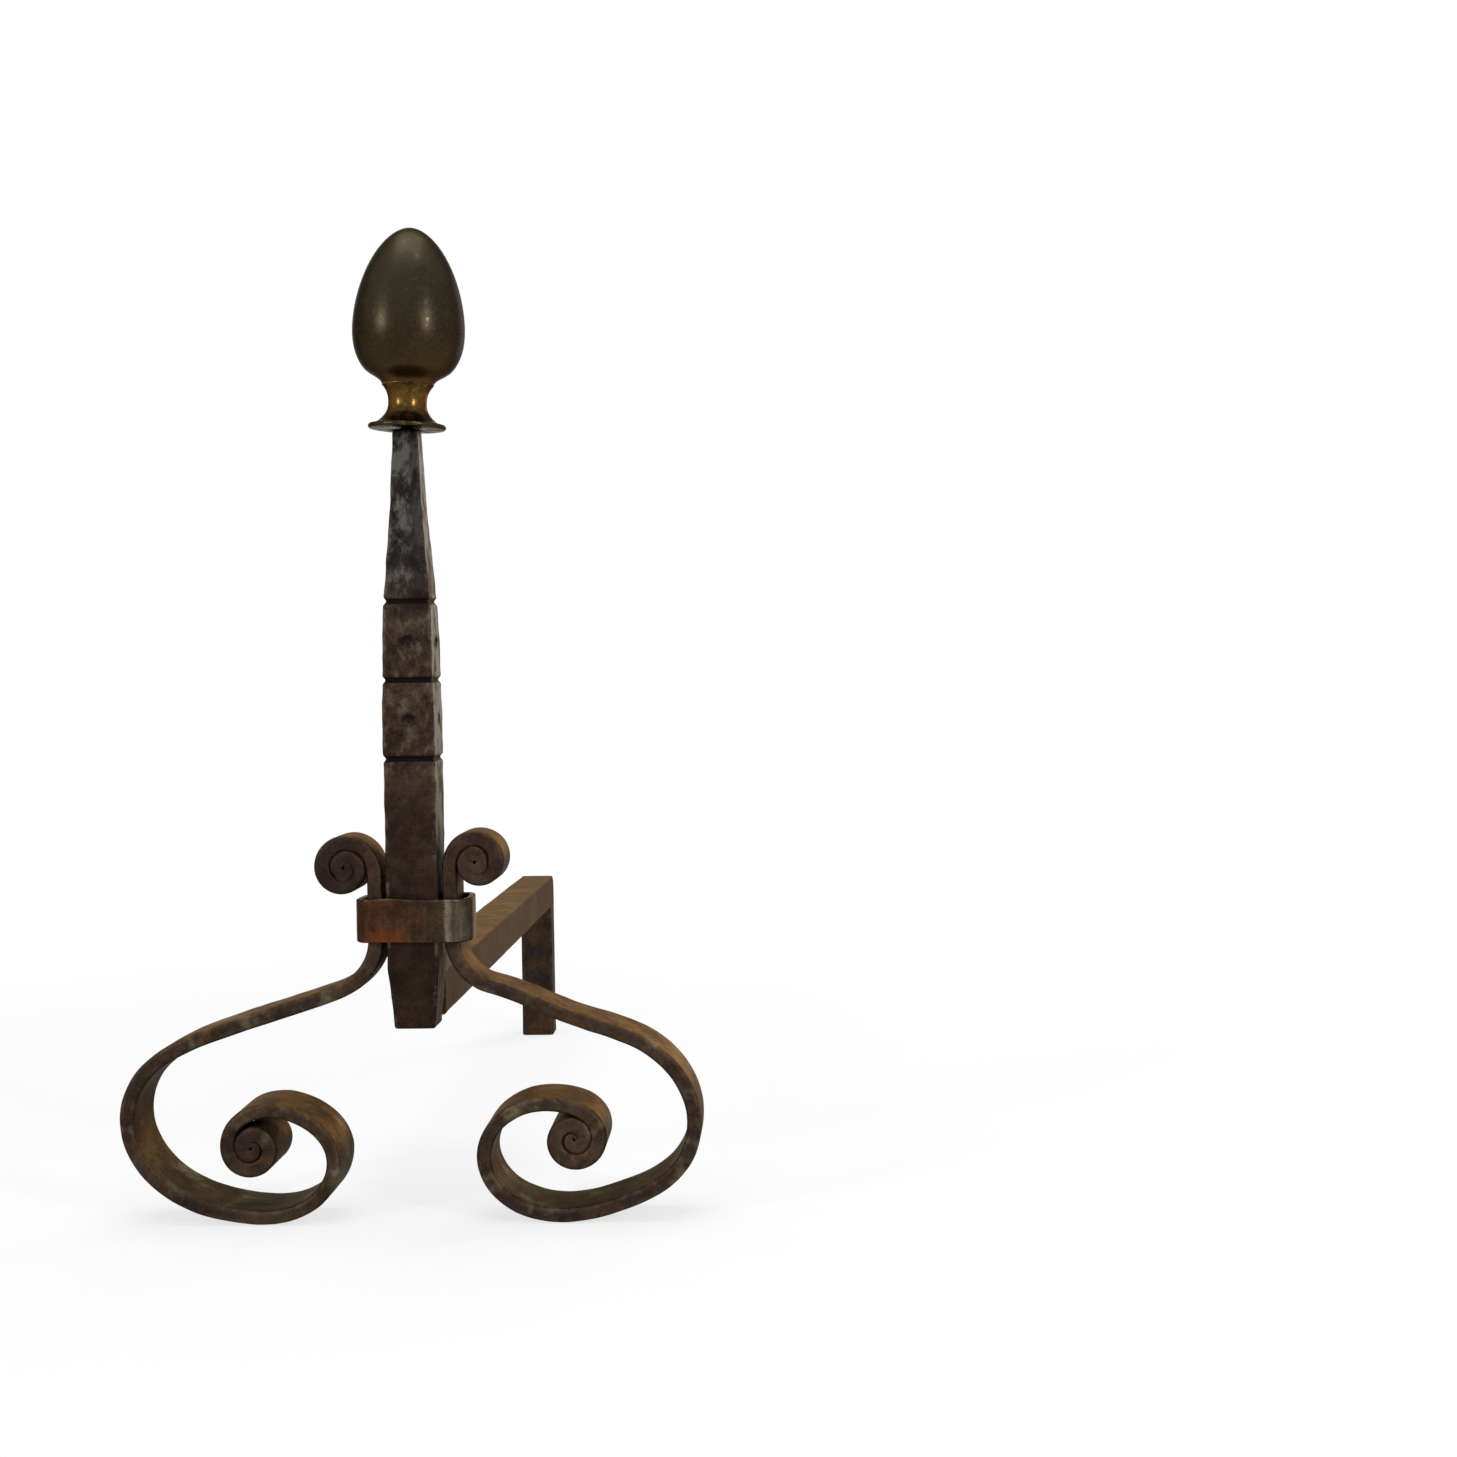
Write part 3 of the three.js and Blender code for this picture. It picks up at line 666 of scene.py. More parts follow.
def punch_dimples(mesh):
    """Presses a dimple with a raised rim into the middle of each panel, on all four faces."""
    points = np.empty(len(mesh.vertices) * 3, np.float32)
    mesh.vertices.foreach_get("co", points)
    points = points.reshape(-1, 3).astype(float)
    rng = np.random.default_rng(4)
    for low, high in PANELS:
        middle = (low + high) / 2
        half = post_width(middle) / 2 * MM
        for quarter in range(4):
            angle = quarter * math.pi / 2
            out = np.array([math.sin(angle), -math.cos(angle), 0])
            along = np.array([-out[1], out[0], 0])
            slip = rng.uniform(-DIMPLE_SLIP, DIMPLE_SLIP, 2) * MM
            offset = points - np.array([POST_X, POST_Y, middle * MM])
            ring = np.hypot(offset @ along - slip[0], offset[:, 2] - slip[1]) / MM
            on_face = (offset @ out > half - 2.2 * MM) & (ring < DIMPLE_RADIUS + 3)
            dish = np.clip(1 - (ring / DIMPLE_RADIUS) ** 2, 0, None) * DIMPLE_DEPTH
            rim = DIMPLE_RIM * np.exp(-((ring - DIMPLE_RADIUS - 0.5) / DIMPLE_RIM_WIDTH) ** 2)
            points[on_face] += ((rim - dish) * MM)[on_face, None] * out
    mesh.vertices.foreach_set("co", points.astype(np.float32).ravel())
    mesh.update()


FORGE = forging_tree()
face_shares = [0.5 + 0.5 * t for t in sorted({0, *HALF_FACE, *(-t for t in HALF_FACE)})]
post = forge(
    post_stations(), section_object("post_section", face_shares, face_shares), post_finish(),
    blow=(10, 0.3), wave=(30, 0.35), seed=1.7,
)
punch_dimples(post)
finish_piece("forged_post", post, "frame", "post_iron", "post")

# ----------------------------------------
# Legs. Each is one flat bar of wrought iron, bent at the anvil into a small scroll above the
# collar and a large one below it that it stands on. The left and the right one differ a little.
# ----------------------------------------

LEG_THICKNESS = 7.6
LEG_FOOT_THICKNESS = 7.2
LEG_TIP_THICKNESS = 1.2
LEG_STEM_WIDTH = 23.4
LEG_KNEE_WIDTH = 32.0
LEG_FOOT_WIDTH = 36.0
LEG_EDGE, LEG_CREASE_EDGE = 2.1, 0.4
CREST_WIDTH = 28.0
WRAP_GAP = -0.25
COIL_THICKENING = 0.6
EYE_RADIUS = 0.1
SNUB_TURN = math.radians(320)
CREST_CREASED_SHARE, FOOT_CREASED_SHARE = 0.5, 0.85
SNUB_LAP = 1.4
STEM_X = 18.0
RUFFLES = ((0.35, 23, 1), (0.25, 9.1, 2))
WALK_STEP = 0.08
STATION_TURN, STATION_LENGTH, TIP_LENGTH = math.radians(5), 1.2, 1.6
LEGS = {
    # side: (which way x runs, seed, straight part above the collar's middle, runs above it, runs
    # below it). A run is (length, radius that the bar is bent to at its end); a positive radius
    # bends it outwards.
    "left": (-1, 3.1, 16.5, ((5.2, 30), (13, 12.8)), (
        (2.2, 23.8), (22, 26.8), (16.9, 494), (62.4, -297), (37.3, -32.5), (34.1, -38.1),
        (59.1, -135), (44, -28), (20, -18.7), (27.5, -46.6), (32.1, -17.7), (23.7, -10.6),
    )),
    "right": (1, 5.6, 20.5, ((5.2, 26), (7.4, 12.2)), (
        (6.7, 33.3), (30.1, 22.7), (4.2, -98.5), (40.1, 146), (38.7, -55.4), (64.4, -31.4),
        (33, -181), (46.4, -45), (36.9, -21.1), (54.1, -53.2), (6.2, -18.6), (15, -12.4),
    )),
}


def bend_along(stem, runs, thickness):
    """The bend of a bar at a distance along it, as a function, and where its coil, its snub and its
    end are. After its runs the bar coils inwards, each wrap hammered down on the last. Then it
    closes in the snub, which is bent tight about nothing and thins to the tip."""
    knots = [(0.0, 0.0), (stem, 0.0)]
    for length, radius in runs:
        knots.append((knots[-1][0] + length, 1 / radius))
    coil, last = knots[-1][0], runs[-1][1]
    pitch = thickness + WRAP_GAP
    inner, tip = thickness / 2 + EYE_RADIUS, LEG_TIP_THICKNESS / 2 + EYE_RADIUS
    snub = coil + math.pi * (last ** 2 - inner ** 2) / pitch
    total = snub + SNUB_TURN * (inner + tip) / 2

    def bend(s):
        if s < coil:
            return value_along(knots, s)
        if s < snub:
            return math.copysign(1 / math.sqrt(last ** 2 - pitch * (s - coil) / math.pi), last)
        slope = (tip - inner) / SNUB_TURN
        turned = (math.sqrt(inner ** 2 + 2 * slope * (s - snub)) - inner) / slope
        return math.copysign(1 / (inner + slope * turned), last)

    return bend, (coil, snub, total)


def walk(rise, bend, total):
    """Centreline stations down (rise -1) or up (rise 1) from the collar's middle, as x away from
    the post, z, the outward direction and the distance."""
    steps = math.ceil(total / WALK_STEP)
    step = total / steps
    x, z, heading = STEM_X, 0.0, 0.0
    last_s, last_heading = 0.0, 0.0
    stations = [(x, z, 1.0, 0.0, 0.0)]
    for i in range(steps):
        turn = bend((i + 0.5) * step) * step
        x += math.sin(heading + turn / 2) * step
        z += rise * math.cos(heading + turn / 2) * step
        heading += turn
        s = (i + 1) * step
        turned = abs(heading - last_heading) > STATION_TURN
        if turned or s - last_s >= STATION_LENGTH or total - s < TIP_LENGTH or i == steps - 1:
            stations.append((x, z, math.cos(heading), -rise * math.sin(heading), s))
            last_s, last_heading = s, heading
    return stations


def thinned(thickness, s, snub, end):
    """The snub thins evenly with the angle that it turns, so it fills the middle of the coil."""
    share = max(s - snub, 0) / (end - snub)
    return math.sqrt(thickness ** 2 + (LEG_TIP_THICKNESS ** 2 - thickness ** 2) * share)


def foot_sizes(s, coil, snub, end):
    thickness = value_along([
        (end * 0.3, LEG_THICKNESS), (end * 0.7, LEG_FOOT_THICKNESS),
        (coil - 22, LEG_FOOT_THICKNESS), (coil - 4, LEG_FOOT_THICKNESS + COIL_THICKENING),
    ], s)
    width = value_along([
        (end * 0.02, LEG_STEM_WIDTH), (end * 0.25, LEG_KNEE_WIDTH), (end * 0.48, LEG_FOOT_WIDTH),
    ], s)
    return thinned(thickness, s, snub, end), width


def crest_sizes(s, coil, snub, end):
    thickness = value_along([(coil, LEG_THICKNESS), (coil + 8, LEG_THICKNESS + COIL_THICKENING)], s)
    width = value_along([(end * 0.17, LEG_STEM_WIDTH), (end, CREST_WIDTH)], s)
    return thinned(thickness, s, snub, end), width


def leg_station(mirror, curl, creased_share, place, sizes, coil, snub, end):
    """A station of a leg. Past creased_share of its snub the bar is lapped outwards, away from the
    centre of its curl, over the crease that its inner side would make there."""
    (x, z, nx, nz, s), (thickness, width) = place, sizes
    creased = snub + (end - snub) * creased_share
    lap = value_along([(creased, 0.0), (creased + 1.5, SNUB_LAP)], s)
    x, z = x - curl * nx * lap / 2, z - curl * nz * lap / 2
    ruffle = sum(size * math.sin(s / length + k * mirror) for size, length, k in RUFFLES)
    worked = min(
        value_along([(12, 0.3), (30, 1.0)], s), value_along([(coil - 25, 1.0), (coil, 0.2)], s)
    )
    return (
        at(mirror * x, ruffle, COLLAR_Z / MM + z), Vector((mirror * nx, 0, nz)), Y_AXIS,
        (thickness + lap) / 2, width / 2 - 0.05 - abs(ruffle),
        LEG_EDGE if lap == 0 else LEG_CREASE_EDGE, worked,
    )


def leg_stations(mirror, crest_stem, crest_runs, foot_runs):

    def below(stem):
        bend, ends = bend_along(stem, foot_runs, LEG_FOOT_THICKNESS)
        from_stem = [end - stem for end in ends]
        return [
            (place, foot_sizes(place[4] - stem, *from_stem), *ends)
            for place in walk(-1, bend, ends[2])
        ]

    # The stem is as long as it takes for the scroll to stand on the floor.
    lowest = min(z - abs(nz) * sizes[0] / 2 for (x, z, nx, nz, s), sizes, *ends in below(0))
    foot = [
        leg_station(mirror, -1, FOOT_CREASED_SHARE, *row) for row in below(COLLAR_Z / MM + lowest)
    ]
    bend, ends = bend_along(crest_stem, crest_runs, LEG_THICKNESS)
    crest = [
        leg_station(mirror, 1, CREST_CREASED_SHARE, place, crest_sizes(place[4], *ends), *ends)
        for place in walk(1, bend, ends[2])
    ]
    return [*reversed(crest[1:]), *foot]


def leg_finish():
    material, where = new_material("leg_iron")
    front = mix(eased(noise(where, 40, 3, shift=2.2), 0.38, 0.62), (52, 40, 35), (70, 55, 43))
    # The wide faces are tan and lighter where they face up and darker where they face down, more so
    # higher on the leg: partly dust on the tops and partly painted light, standing for light from
    # above.
    upwards = eased(facing(where, 2), -1.0, 1.0)
    low_down = ramp(upwards, (0.0, (48, 40, 31)), (0.5, (58, 49, 36)), (1.0, (68, 58, 42)))
    high_up = ramp(upwards, (0.0, (44, 36, 28)), (0.5, (62, 48, 32)), (1.0, (102, 74, 42)))
    flat_faces_dust_and_light = mix(height_of(where, 22, 48), low_down, high_up)
    tone, rough, rubbed, height = weathered(
        where, mix(eased(abs(facing(where, 1)), 0.45, 0.85), flat_faces_dust_and_light, front), (38, 29, 26),
        (76, 52, 31), (108, 93, 68), 0.57, 0.67, 1.3, 1.9, 0.26, (0.42, 0.64),
    )
    scuffed = (
        eased(noise(where, 19, 3, 0.6, shift=4.9), 0.54, 0.72)
        * eased(noise(where, 3, 4, 0.7, shift=1.9), 0.26, 0.72, 0.3) * height_of(where, 132, 118)
    )
    tone = mix(scuffed * 0.75, tone, (120, 109, 86))
    return finished(material, IRON, tone, rough, eased(rubbed, 0, 1, 0.86, 1.0), height, 0.3)


def even_shares(count):
    return [(i + 1) / (count + 1) for i in range(count)]


leg_iron = leg_finish()
for side, (mirror, seed, *bends) in LEGS.items():
    section = section_object("leg_section", even_shares(5), even_shares(20))
    leg = forge(leg_stations(mirror, *bends), section, leg_iron, (11, 0.16), (34, 0.3), seed)
    finish_piece("forged_leg_" + side, leg, "frame", "leg_iron", side + "_leg")

# ----------------------------------------
# Rivet. A round iron rivet through both stems and the post, hammered flush, under the collar.
# ----------------------------------------


def two_toned(name, size, shift, low, high, tones, rough, metal, relief):
    """A plain iron finish that is cloudy between two tones, with a roughness and metal for each."""
    material, where = new_material(name)
    cloud = eased(noise(where, size, 5, 0.6, shift=shift), low, high)
    return finished(
        material, IRON, mix(cloud, *tones), eased(cloud, 0, 1, *rough), eased(cloud, 0, 1, *metal),
        cloud, relief,
    )


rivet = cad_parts["leg_rivet"]
rivet.data.materials.clear()
rivet.data.materials.append(two_toned(
    "rivet_iron", 2.5, 6.0, 0.4, 0.65, ((52, 43, 38), (92, 74, 58)), rough=(0.62, 0.45),
    metal=(0.86, 1.0), relief=0.15,
))

# ----------------------------------------
# Collar. A strip of wrought iron wrapped hot round the post and both stems, with its ends meeting
# at the back. It stands open beside each stem, and its edges are thin and a little uneven.
# ----------------------------------------

COLLAR_HEIGHT = 21.3
COLLAR_THICKNESS = 3.0
COLLAR_LEFT_CORNER, COLLAR_RIGHT_CORNER = 9.0, 12.0
COLLAR_LEFT = 21.8 + 2.9 + COLLAR_THICKNESS
COLLAR_RIGHT = 21.8 + 3.5 + COLLAR_THICKNESS
COLLAR_HALF_DEPTH = POST_SIZE / 2 + 0.3 + COLLAR_THICKNESS
COLLAR_SEAM = 0.6
COLLAR_EDGE = 0.9
COLLAR_END_ROUND = 0.6
COLLAR_STATIONS = 240


def collar_line():
    """The middle of the strip, seen from above, from the seam at the back round to the seam:
    place, outward direction and distance."""
    half = COLLAR_THICKNESS / 2
    left, right = -COLLAR_LEFT + half, COLLAR_RIGHT - half
    front, back = -COLLAR_HALF_DEPTH + half, COLLAR_HALF_DEPTH - half
    on_left, on_right = COLLAR_LEFT_CORNER - half, COLLAR_RIGHT_CORNER - half
    outline = [(COLLAR_SEAM / 2, back, 0.0, 1.0)]
    for x, y, radius, start in (
        (right - on_right, back - on_right, on_right, 90),
        (right - on_right, front + on_right, on_right, 0),
        (left + on_left, front + on_left, on_left, -90),
        (left + on_left, back - on_left, on_left, -180),
    ):
        for i in range(13):
            angle = math.radians(start - 7.5 * i)
            nx, ny = math.cos(angle), math.sin(angle)
            outline.append((x + radius * nx, y + radius * ny, nx, ny))
    outline.append((-COLLAR_SEAM / 2, back, 0.0, 1.0))
    run = [0.0]
    for a, b in zip(outline, outline[1:]):
        run.append(run[-1] + math.hypot(b[0] - a[0], b[1] - a[1]))
    return [
        (*(float(np.interp(s, run, [p[i] for p in outline])) for i in range(4)), float(s))
        for s in np.linspace(0, run[-1], COLLAR_STATIONS)
    ]


def collar_stations():
    path = collar_line()
    stations = []
    for x, y, nx, ny, s in path:
        sway = 0.25 * math.sin(s / 11) + 0.15 * math.sin(s / 4.3 + 1)
        end_trim = drawn_in(min(s, path[-1][4] - s), COLLAR_END_ROUND)
        edge_trim = end_trim + 0.15 + 0.15 * math.sin(s / 7.7)
        stations.append((
            at(x, y, COLLAR_Z / MM + sway), Vector((nx, ny, 0)), Z_AXIS,
            COLLAR_THICKNESS / 2 - end_trim, COLLAR_HEIGHT / 2 - edge_trim, COLLAR_EDGE, 1.0,
        ))
    return stations


def collar_finish():
    material, where = new_material("collar_iron")
    x, y, z = parts(where)
    across = node(material.node_tree, "ShaderNodeMapRange", {
        0: x, 1: POST_X - COLLAR_LEFT * MM, 2: POST_X + COLLAR_RIGHT * MM,
    })[0]
    wander = eased(noise(where, 9, 4, 0.6, shift=2.6), 0.3, 0.7, -0.06, 0.06)
    # From left to right the strip runs from rusty brown to olive. The narrow bright band at 0.80 to
    # 0.825 across is a painted highlight, standing for the light caught where the right-hand corner
    # starts to turn.
    base = ramp(
        across + wander * eased(across, 0.7, 0.4, 0.1, 1), (0.0, (62, 39, 28)),
        (0.22, (75, 47, 32)), (0.45, (65, 45, 32)), (0.70, (52, 43, 31)), (0.775, (58, 49, 36)),
        (0.80, (116, 104, 86)), (0.825, (104, 94, 78)), (0.85, (72, 64, 50)),
        (0.93, (80, 74, 62)), (1.0, (48, 40, 30)),
    )
    tone, rough, rubbed, height = weathered(
        where, base, (38, 26, 20), (78, 46, 26), (96, 84, 66), 0.62, 0.70, 0.9, 7.3, 0.35,
        (0.24, 0.34),
    )
    low_left = eased(across, 0.50, 0.36) * eased(across, 0.04, 0.24) * eased(
        z + wander * 0.08, COLLAR_Z - 1 * MM, COLLAR_Z - 8 * MM
    )
    tone = mix(low_left * 0.65, tone, (104, 54, 22))
    scratched = noise(where, 2.2, 4, 0.7, stretch=(1, 1, 9), shift=3.9)
    tone = vector_node("SCALE", tone, eased(scratched, 0.3, 0.7, 0.8, 1.25))
    return finished(material, IRON, tone, rough, eased(rubbed, 0, 1, 0.88, 1.0), height, 0.08)


section = section_object("collar_section", even_shares(3), even_shares(24))
collar = forge(collar_stations(), section, collar_finish(), (9, 0.08), (30, 0.3), 9.2)
finish_piece("collar_strip", collar, "frame", "collar_iron", "collar")

# ----------------------------------------
# Log bar. One square wrought bar, let into the back of the post by a tenon and bent straight
# down at the rear into the rear leg. The logs lie on it.
# ----------------------------------------

BAR_SIZE = 22.6
BAR_TOP_Z = 117.7
BAR_REAR_DROP = 2.8
BAR_FRONT_Y = 13.0
BAR_REAR_Y = 496.3
REAR_LEG_DEPTH = 20.0
BAR_OUTER_BEND = 9.0
BAR_INNER_BEND = 4.0
BAR_EDGE, TENON_EDGE = 1.5, 0.6
BAR_END_ROUND = 1.4
BAR_END_STEPS = (0, 0.35, 0.7, 1.1, 1.6)
BAR_STEP = 1.4
BEND_STATIONS = 40
TENON_SIZE = 13.0
TENON_LENGTH = 11.0


def spaced(points, count):
    """So many points evenly spaced along a line of points."""
    points = np.asarray(points, float)
    run = np.concatenate([[0], np.cumsum(np.linalg.norm(np.diff(points, axis=0), axis=1))])
    wanted = np.linspace(0, run[-1], count)
    return np.stack([np.interp(wanted, run, points[:, i]) for i in range(2)], 1)


def curve_through(start, corner, end, count=16):
    t = np.linspace(0, 1, count)[:, None]
    a, b, c = (np.array(p, float) for p in (start, corner, end))
    return (1 - t) ** 2 * a + 2 * t * (1 - t) * b + t ** 2 * c


def bar_rows():
    """The bar from the side, as pairs of points (y, z) on its underside and its top, from the post
    to the bend, round the bend and down to the floor, and where the bend starts."""

    def top(y):
        return BAR_TOP_Z - (y - BAR_FRONT_Y) * BAR_REAR_DROP / (BAR_REAR_Y - BAR_FRONT_Y)

    def under(y):
        return top(y) - BAR_SIZE

    inner_y = BAR_REAR_Y - REAR_LEG_DEPTH
    bend_y, bend_z = inner_y - BAR_INNER_BEND, under(inner_y) - BAR_INNER_BEND
    ys = [BAR_FRONT_Y + t for t in BAR_END_STEPS]
    ys += list(np.arange(BAR_FRONT_Y + 2.6, bend_y, BAR_STEP))
    inside = curve_through((bend_y, under(bend_y)), (inner_y, under(inner_y)), (inner_y, bend_z))
    outer_y = BAR_REAR_Y - BAR_OUTER_BEND
    outside = np.concatenate([
        [(bend_y, top(bend_y))],
        curve_through(
            (outer_y, top(outer_y)), (BAR_REAR_Y, top(BAR_REAR_Y)),
            (BAR_REAR_Y, top(BAR_REAR_Y) - BAR_OUTER_BEND),
        ),
        [(BAR_REAR_Y, bend_z)],
    ])
    zs = [*np.arange(bend_z - BAR_STEP, 2.6, -BAR_STEP), *reversed(BAR_END_STEPS)]
    return [
        *(((y, under(y)), (y, top(y))) for y in ys),
        *zip(spaced(inside, BEND_STATIONS), spaced(outside, BEND_STATIONS)),
        *(((inner_y, z), (BAR_REAR_Y, z)) for z in zs),
    ], bend_y


def bar_stations():
    rows, bend_y = bar_rows()
    stations = [
        (
            at(0, BAR_FRONT_Y - back, BAR_TOP_Z - BAR_SIZE / 2), Z_AXIS, X_AXIS,
            TENON_SIZE / 2 - trim, TENON_SIZE / 2 - trim, TENON_EDGE, 0.0,
        )
        for back, trim in ((TENON_LENGTH, 0.5), (TENON_LENGTH - 0.5, 0), (0.05, 0))
    ]
    for inner, outer in rows:
        inner, outer = np.asarray(inner, float), np.asarray(outer, float)
        y, z = (inner + outer) / 2
        depth = float(np.linalg.norm(outer - inner))
        out = (outer - inner) / depth
        end = z if y > bend_y else y - BAR_FRONT_Y
        trim = drawn_in(max(end, 0), BAR_END_ROUND)
        stations.append((
            at(0, y, z), Vector((0, *out)), X_AXIS, depth / 2 - trim, BAR_SIZE / 2 - trim,
            BAR_EDGE, value_along([(0, 0.2), (12, 1.0)], end),
        ))
    return stations


def bar_finish():
    material, where = new_material("bar_iron")
    # Painted shade: from 98 mm down to 70 mm the bar turns to a dark bluish grey, which stays on
    # the rear leg down to the floor, standing for the shade under the bar.
    low = eased(parts(where)[2], 0.070, 0.098, 1.0, 0.0)
    cloud = eased(noise(where, 80, 4, 0.55, shift=3.4), 0.38, 0.62)
    # Faces that look up are tan and much lighter than the sides: partly dust and rust on the top,
    # and partly painted light, standing for light from above.
    side_tone = mix(cloud, (50, 37, 22), (72, 54, 31))
    top_dust_and_light_tone = mix(cloud, (92, 67, 36), (110, 81, 44))
    rear_leg_painted_shade = ramp(
        height_of(where, 0, 100), (0.0, (48, 37, 30)), (0.25, (40, 34, 31)), (0.7, (36, 33, 33)),
        (1.0, (42, 35, 30)),
    )
    base = mix(low, mix(eased(facing(where, 2), 0.2, 0.8), side_tone, top_dust_and_light_tone), rear_leg_painted_shade)
    tone, rough, rubbed, height = weathered(
        where, base, (66, 48, 28), (92, 62, 32), (112, 92, 62), 0.63, 0.70, 1.6, 11.1, 0.25,
        (0.46, 0.66),
    )
    return finished(material, IRON, tone, rough, eased(rubbed, 0, 1, 0.84, 0.96), height, 0.35)


section = section_object("bar_section", even_shares(16), even_shares(16))
bar = forge(bar_stations(), section, bar_finish(), (26, 0.12), (90, 0.5), 4.4)
finish_piece("forged_log_bar", bar, "frame", "bar_iron", "log_bar")

# ----------------------------------------
# Stud. An iron stud with a cut thread, driven into the top of the post a little out of true. The
# finial screws down on it.
# ----------------------------------------

STUD_RADIUS = 3.2
STUD_ROOT = 2.65
STUD_PITCH = 1.27
STUD_SIDES, THREAD_SIDES = 32, 28
STUD_FOOT_Z = POST_TOP_Z - 24
STUD_TOP_Z = 401.6 + 12
FINIAL_PIVOT = at(0, 0, POST_TOP_Z)
# places on the finial's axis, in metres above the floor, onto the leaning axis in the scene
FINIAL_TURN = (
    Matrix.Translation(FINIAL_PIVOT) @ Matrix.Rotation(FINIAL_LEAN, 4, "Y")
    @ Matrix.Translation(-POST_TOP_Z * MM * Z_AXIS)
)


def stud_tree():
    """Geometry nodes for a threaded rod: a helical ridge on a plain core."""
    tree, given = node_group("threaded_rod", {
        "Root Radius": "Float", "Crest Radius": "Float", "Pitch": "Float", "Length": "Float",
        "Material": "Material",
    })
    root, pitch, length = given["Root Radius"], given["Pitch"], given["Length"]

    def lifted(geometry, height):
        return node(tree, "GeometryNodeSetPosition", {
            "Geometry": geometry, "Offset": node(tree, "ShaderNodeCombineXYZ", {2: height})[0],
        })[0]

    threaded = length - pitch * 1.6
    helix = node(tree, "GeometryNodeCurveSpiral", {
        "Resolution": THREAD_SIDES, "Rotations": threaded / pitch,
        "Start Radius": root, "End Radius": root, "Height": threaded,
    })[0]
    ridge = node(tree, "GeometryNodeCurvePrimitiveCircle", {
        "Resolution": 4, "Radius": given["Crest Radius"] - root,
    })[0]
    thread = node(tree, "GeometryNodeCurveToMesh", {
        "Curve": lifted(helix, pitch * 0.8), "Profile Curve": ridge, "Fill Caps": True,
    })[0]
    core = node(tree, "GeometryNodeMeshCylinder", {
        "Vertices": STUD_SIDES, "Radius": root, "Depth": length,
    })[0]
    both = node(tree, "GeometryNodeJoinGeometry")
    for part in (thread, lifted(core, length * 0.5)):
        tree.links.new(part.socket, both.node.inputs[0])
    give_out(both[0], given["Material"])
    return tree


stud_iron = two_toned(
    "stud_iron", 2.2, 1.5, 0.38, 0.64, ((104, 98, 90), (58, 45, 36)), rough=(0.36, 0.66),
    metal=(0.9, 0.45), relief=0.08,
)
stud = grown(line_object("stud_line", [(0, 0, 0)], {}), stud_tree(), {
    "Root Radius": STUD_ROOT * MM, "Crest Radius": STUD_RADIUS * MM, "Pitch": STUD_PITCH * MM,
    "Length": (STUD_TOP_Z - STUD_FOOT_Z) * MM, "Material": stud_iron,
})
stud.transform(FINIAL_TURN @ Matrix.Translation(Z_AXIS * STUD_FOOT_Z * MM))
finish_piece("threaded_stud", stud, "frame", "stud_iron", "finial_stud")

# ----------------------------------------
# Finial base. Turned brass, with a flat flange on the post, a bell-shaped rise, a waist rubbed
# bright by hands, and a mouth that opens out to carry the egg. It turns on the stud.
# ----------------------------------------

FLANGE_Z = 380.4
FLANGE_RADIUS = 18.6
FLANGE_THICKNESS = 2.2
FLANGE_ROUND = 0.9
BELL_INSET, BELL_LIFT, BELL_FLARE = 3.6, 0.7, 2.4
WAIST_RADIUS = 9.2
WAIST_Z = 393.0
MOUTH_RADIUS = 12.3
SEAM_Z = 401.3
BORE_RADIUS = 3.5
TURNING_SIDES = 160
BRASS = {"IOR": 1.45, "Specular IOR Level": 0.3, "Specular Tint": (0.36, 0.33, 0.26, 1)}


def turned_piece(name, profile, material, node_name, slot):
    """Turns a closed loop of (radius, height) points about the finial's leaning axis. The loop runs
    up the outside and down the bore; a point on the axis is made a single one."""
    points, rings = [], []
    for r, z in profile:
        on_axis = r < 1e-6
        sides = 1 if on_axis else TURNING_SIDES
        ring = range(len(points), len(points) + sides)
        rings.append(list(ring) * (TURNING_SIDES // sides))
        for k in range(sides):
            angle = 2 * math.pi * k / TURNING_SIDES
            points.append((0, 0, z) if on_axis else (r * math.cos(angle), r * math.sin(angle), z))
    faces = []
    for low, high in zip(rings, rings[1:] + rings[:1]):
        for k in range(TURNING_SIDES):
            beside = (k + 1) % TURNING_SIDES
            corners = list(dict.fromkeys((low[k], low[beside], high[beside], high[k])))
            if len(corners) > 2:
                faces.append(corners)
    mesh = bpy.data.meshes.new(name)
    mesh.from_pydata([tuple(Vector(p) * MM) for p in points], [], faces)
    mesh.transform(FINIAL_TURN)
    mesh.shade_smooth()
    mesh.materials.append(material)
    finish_piece(name, mesh, node_name, slot, node_name)


def flared(radius, z, shares):
    """A curve between the waist and a wider ring, at shares of the way from the waist."""
    return [(
        WAIST_RADIUS + (radius - WAIST_RADIUS) * share ** BELL_FLARE,
        WAIST_Z + (z - WAIST_Z) * share,
    ) for share in shares.tolist()]


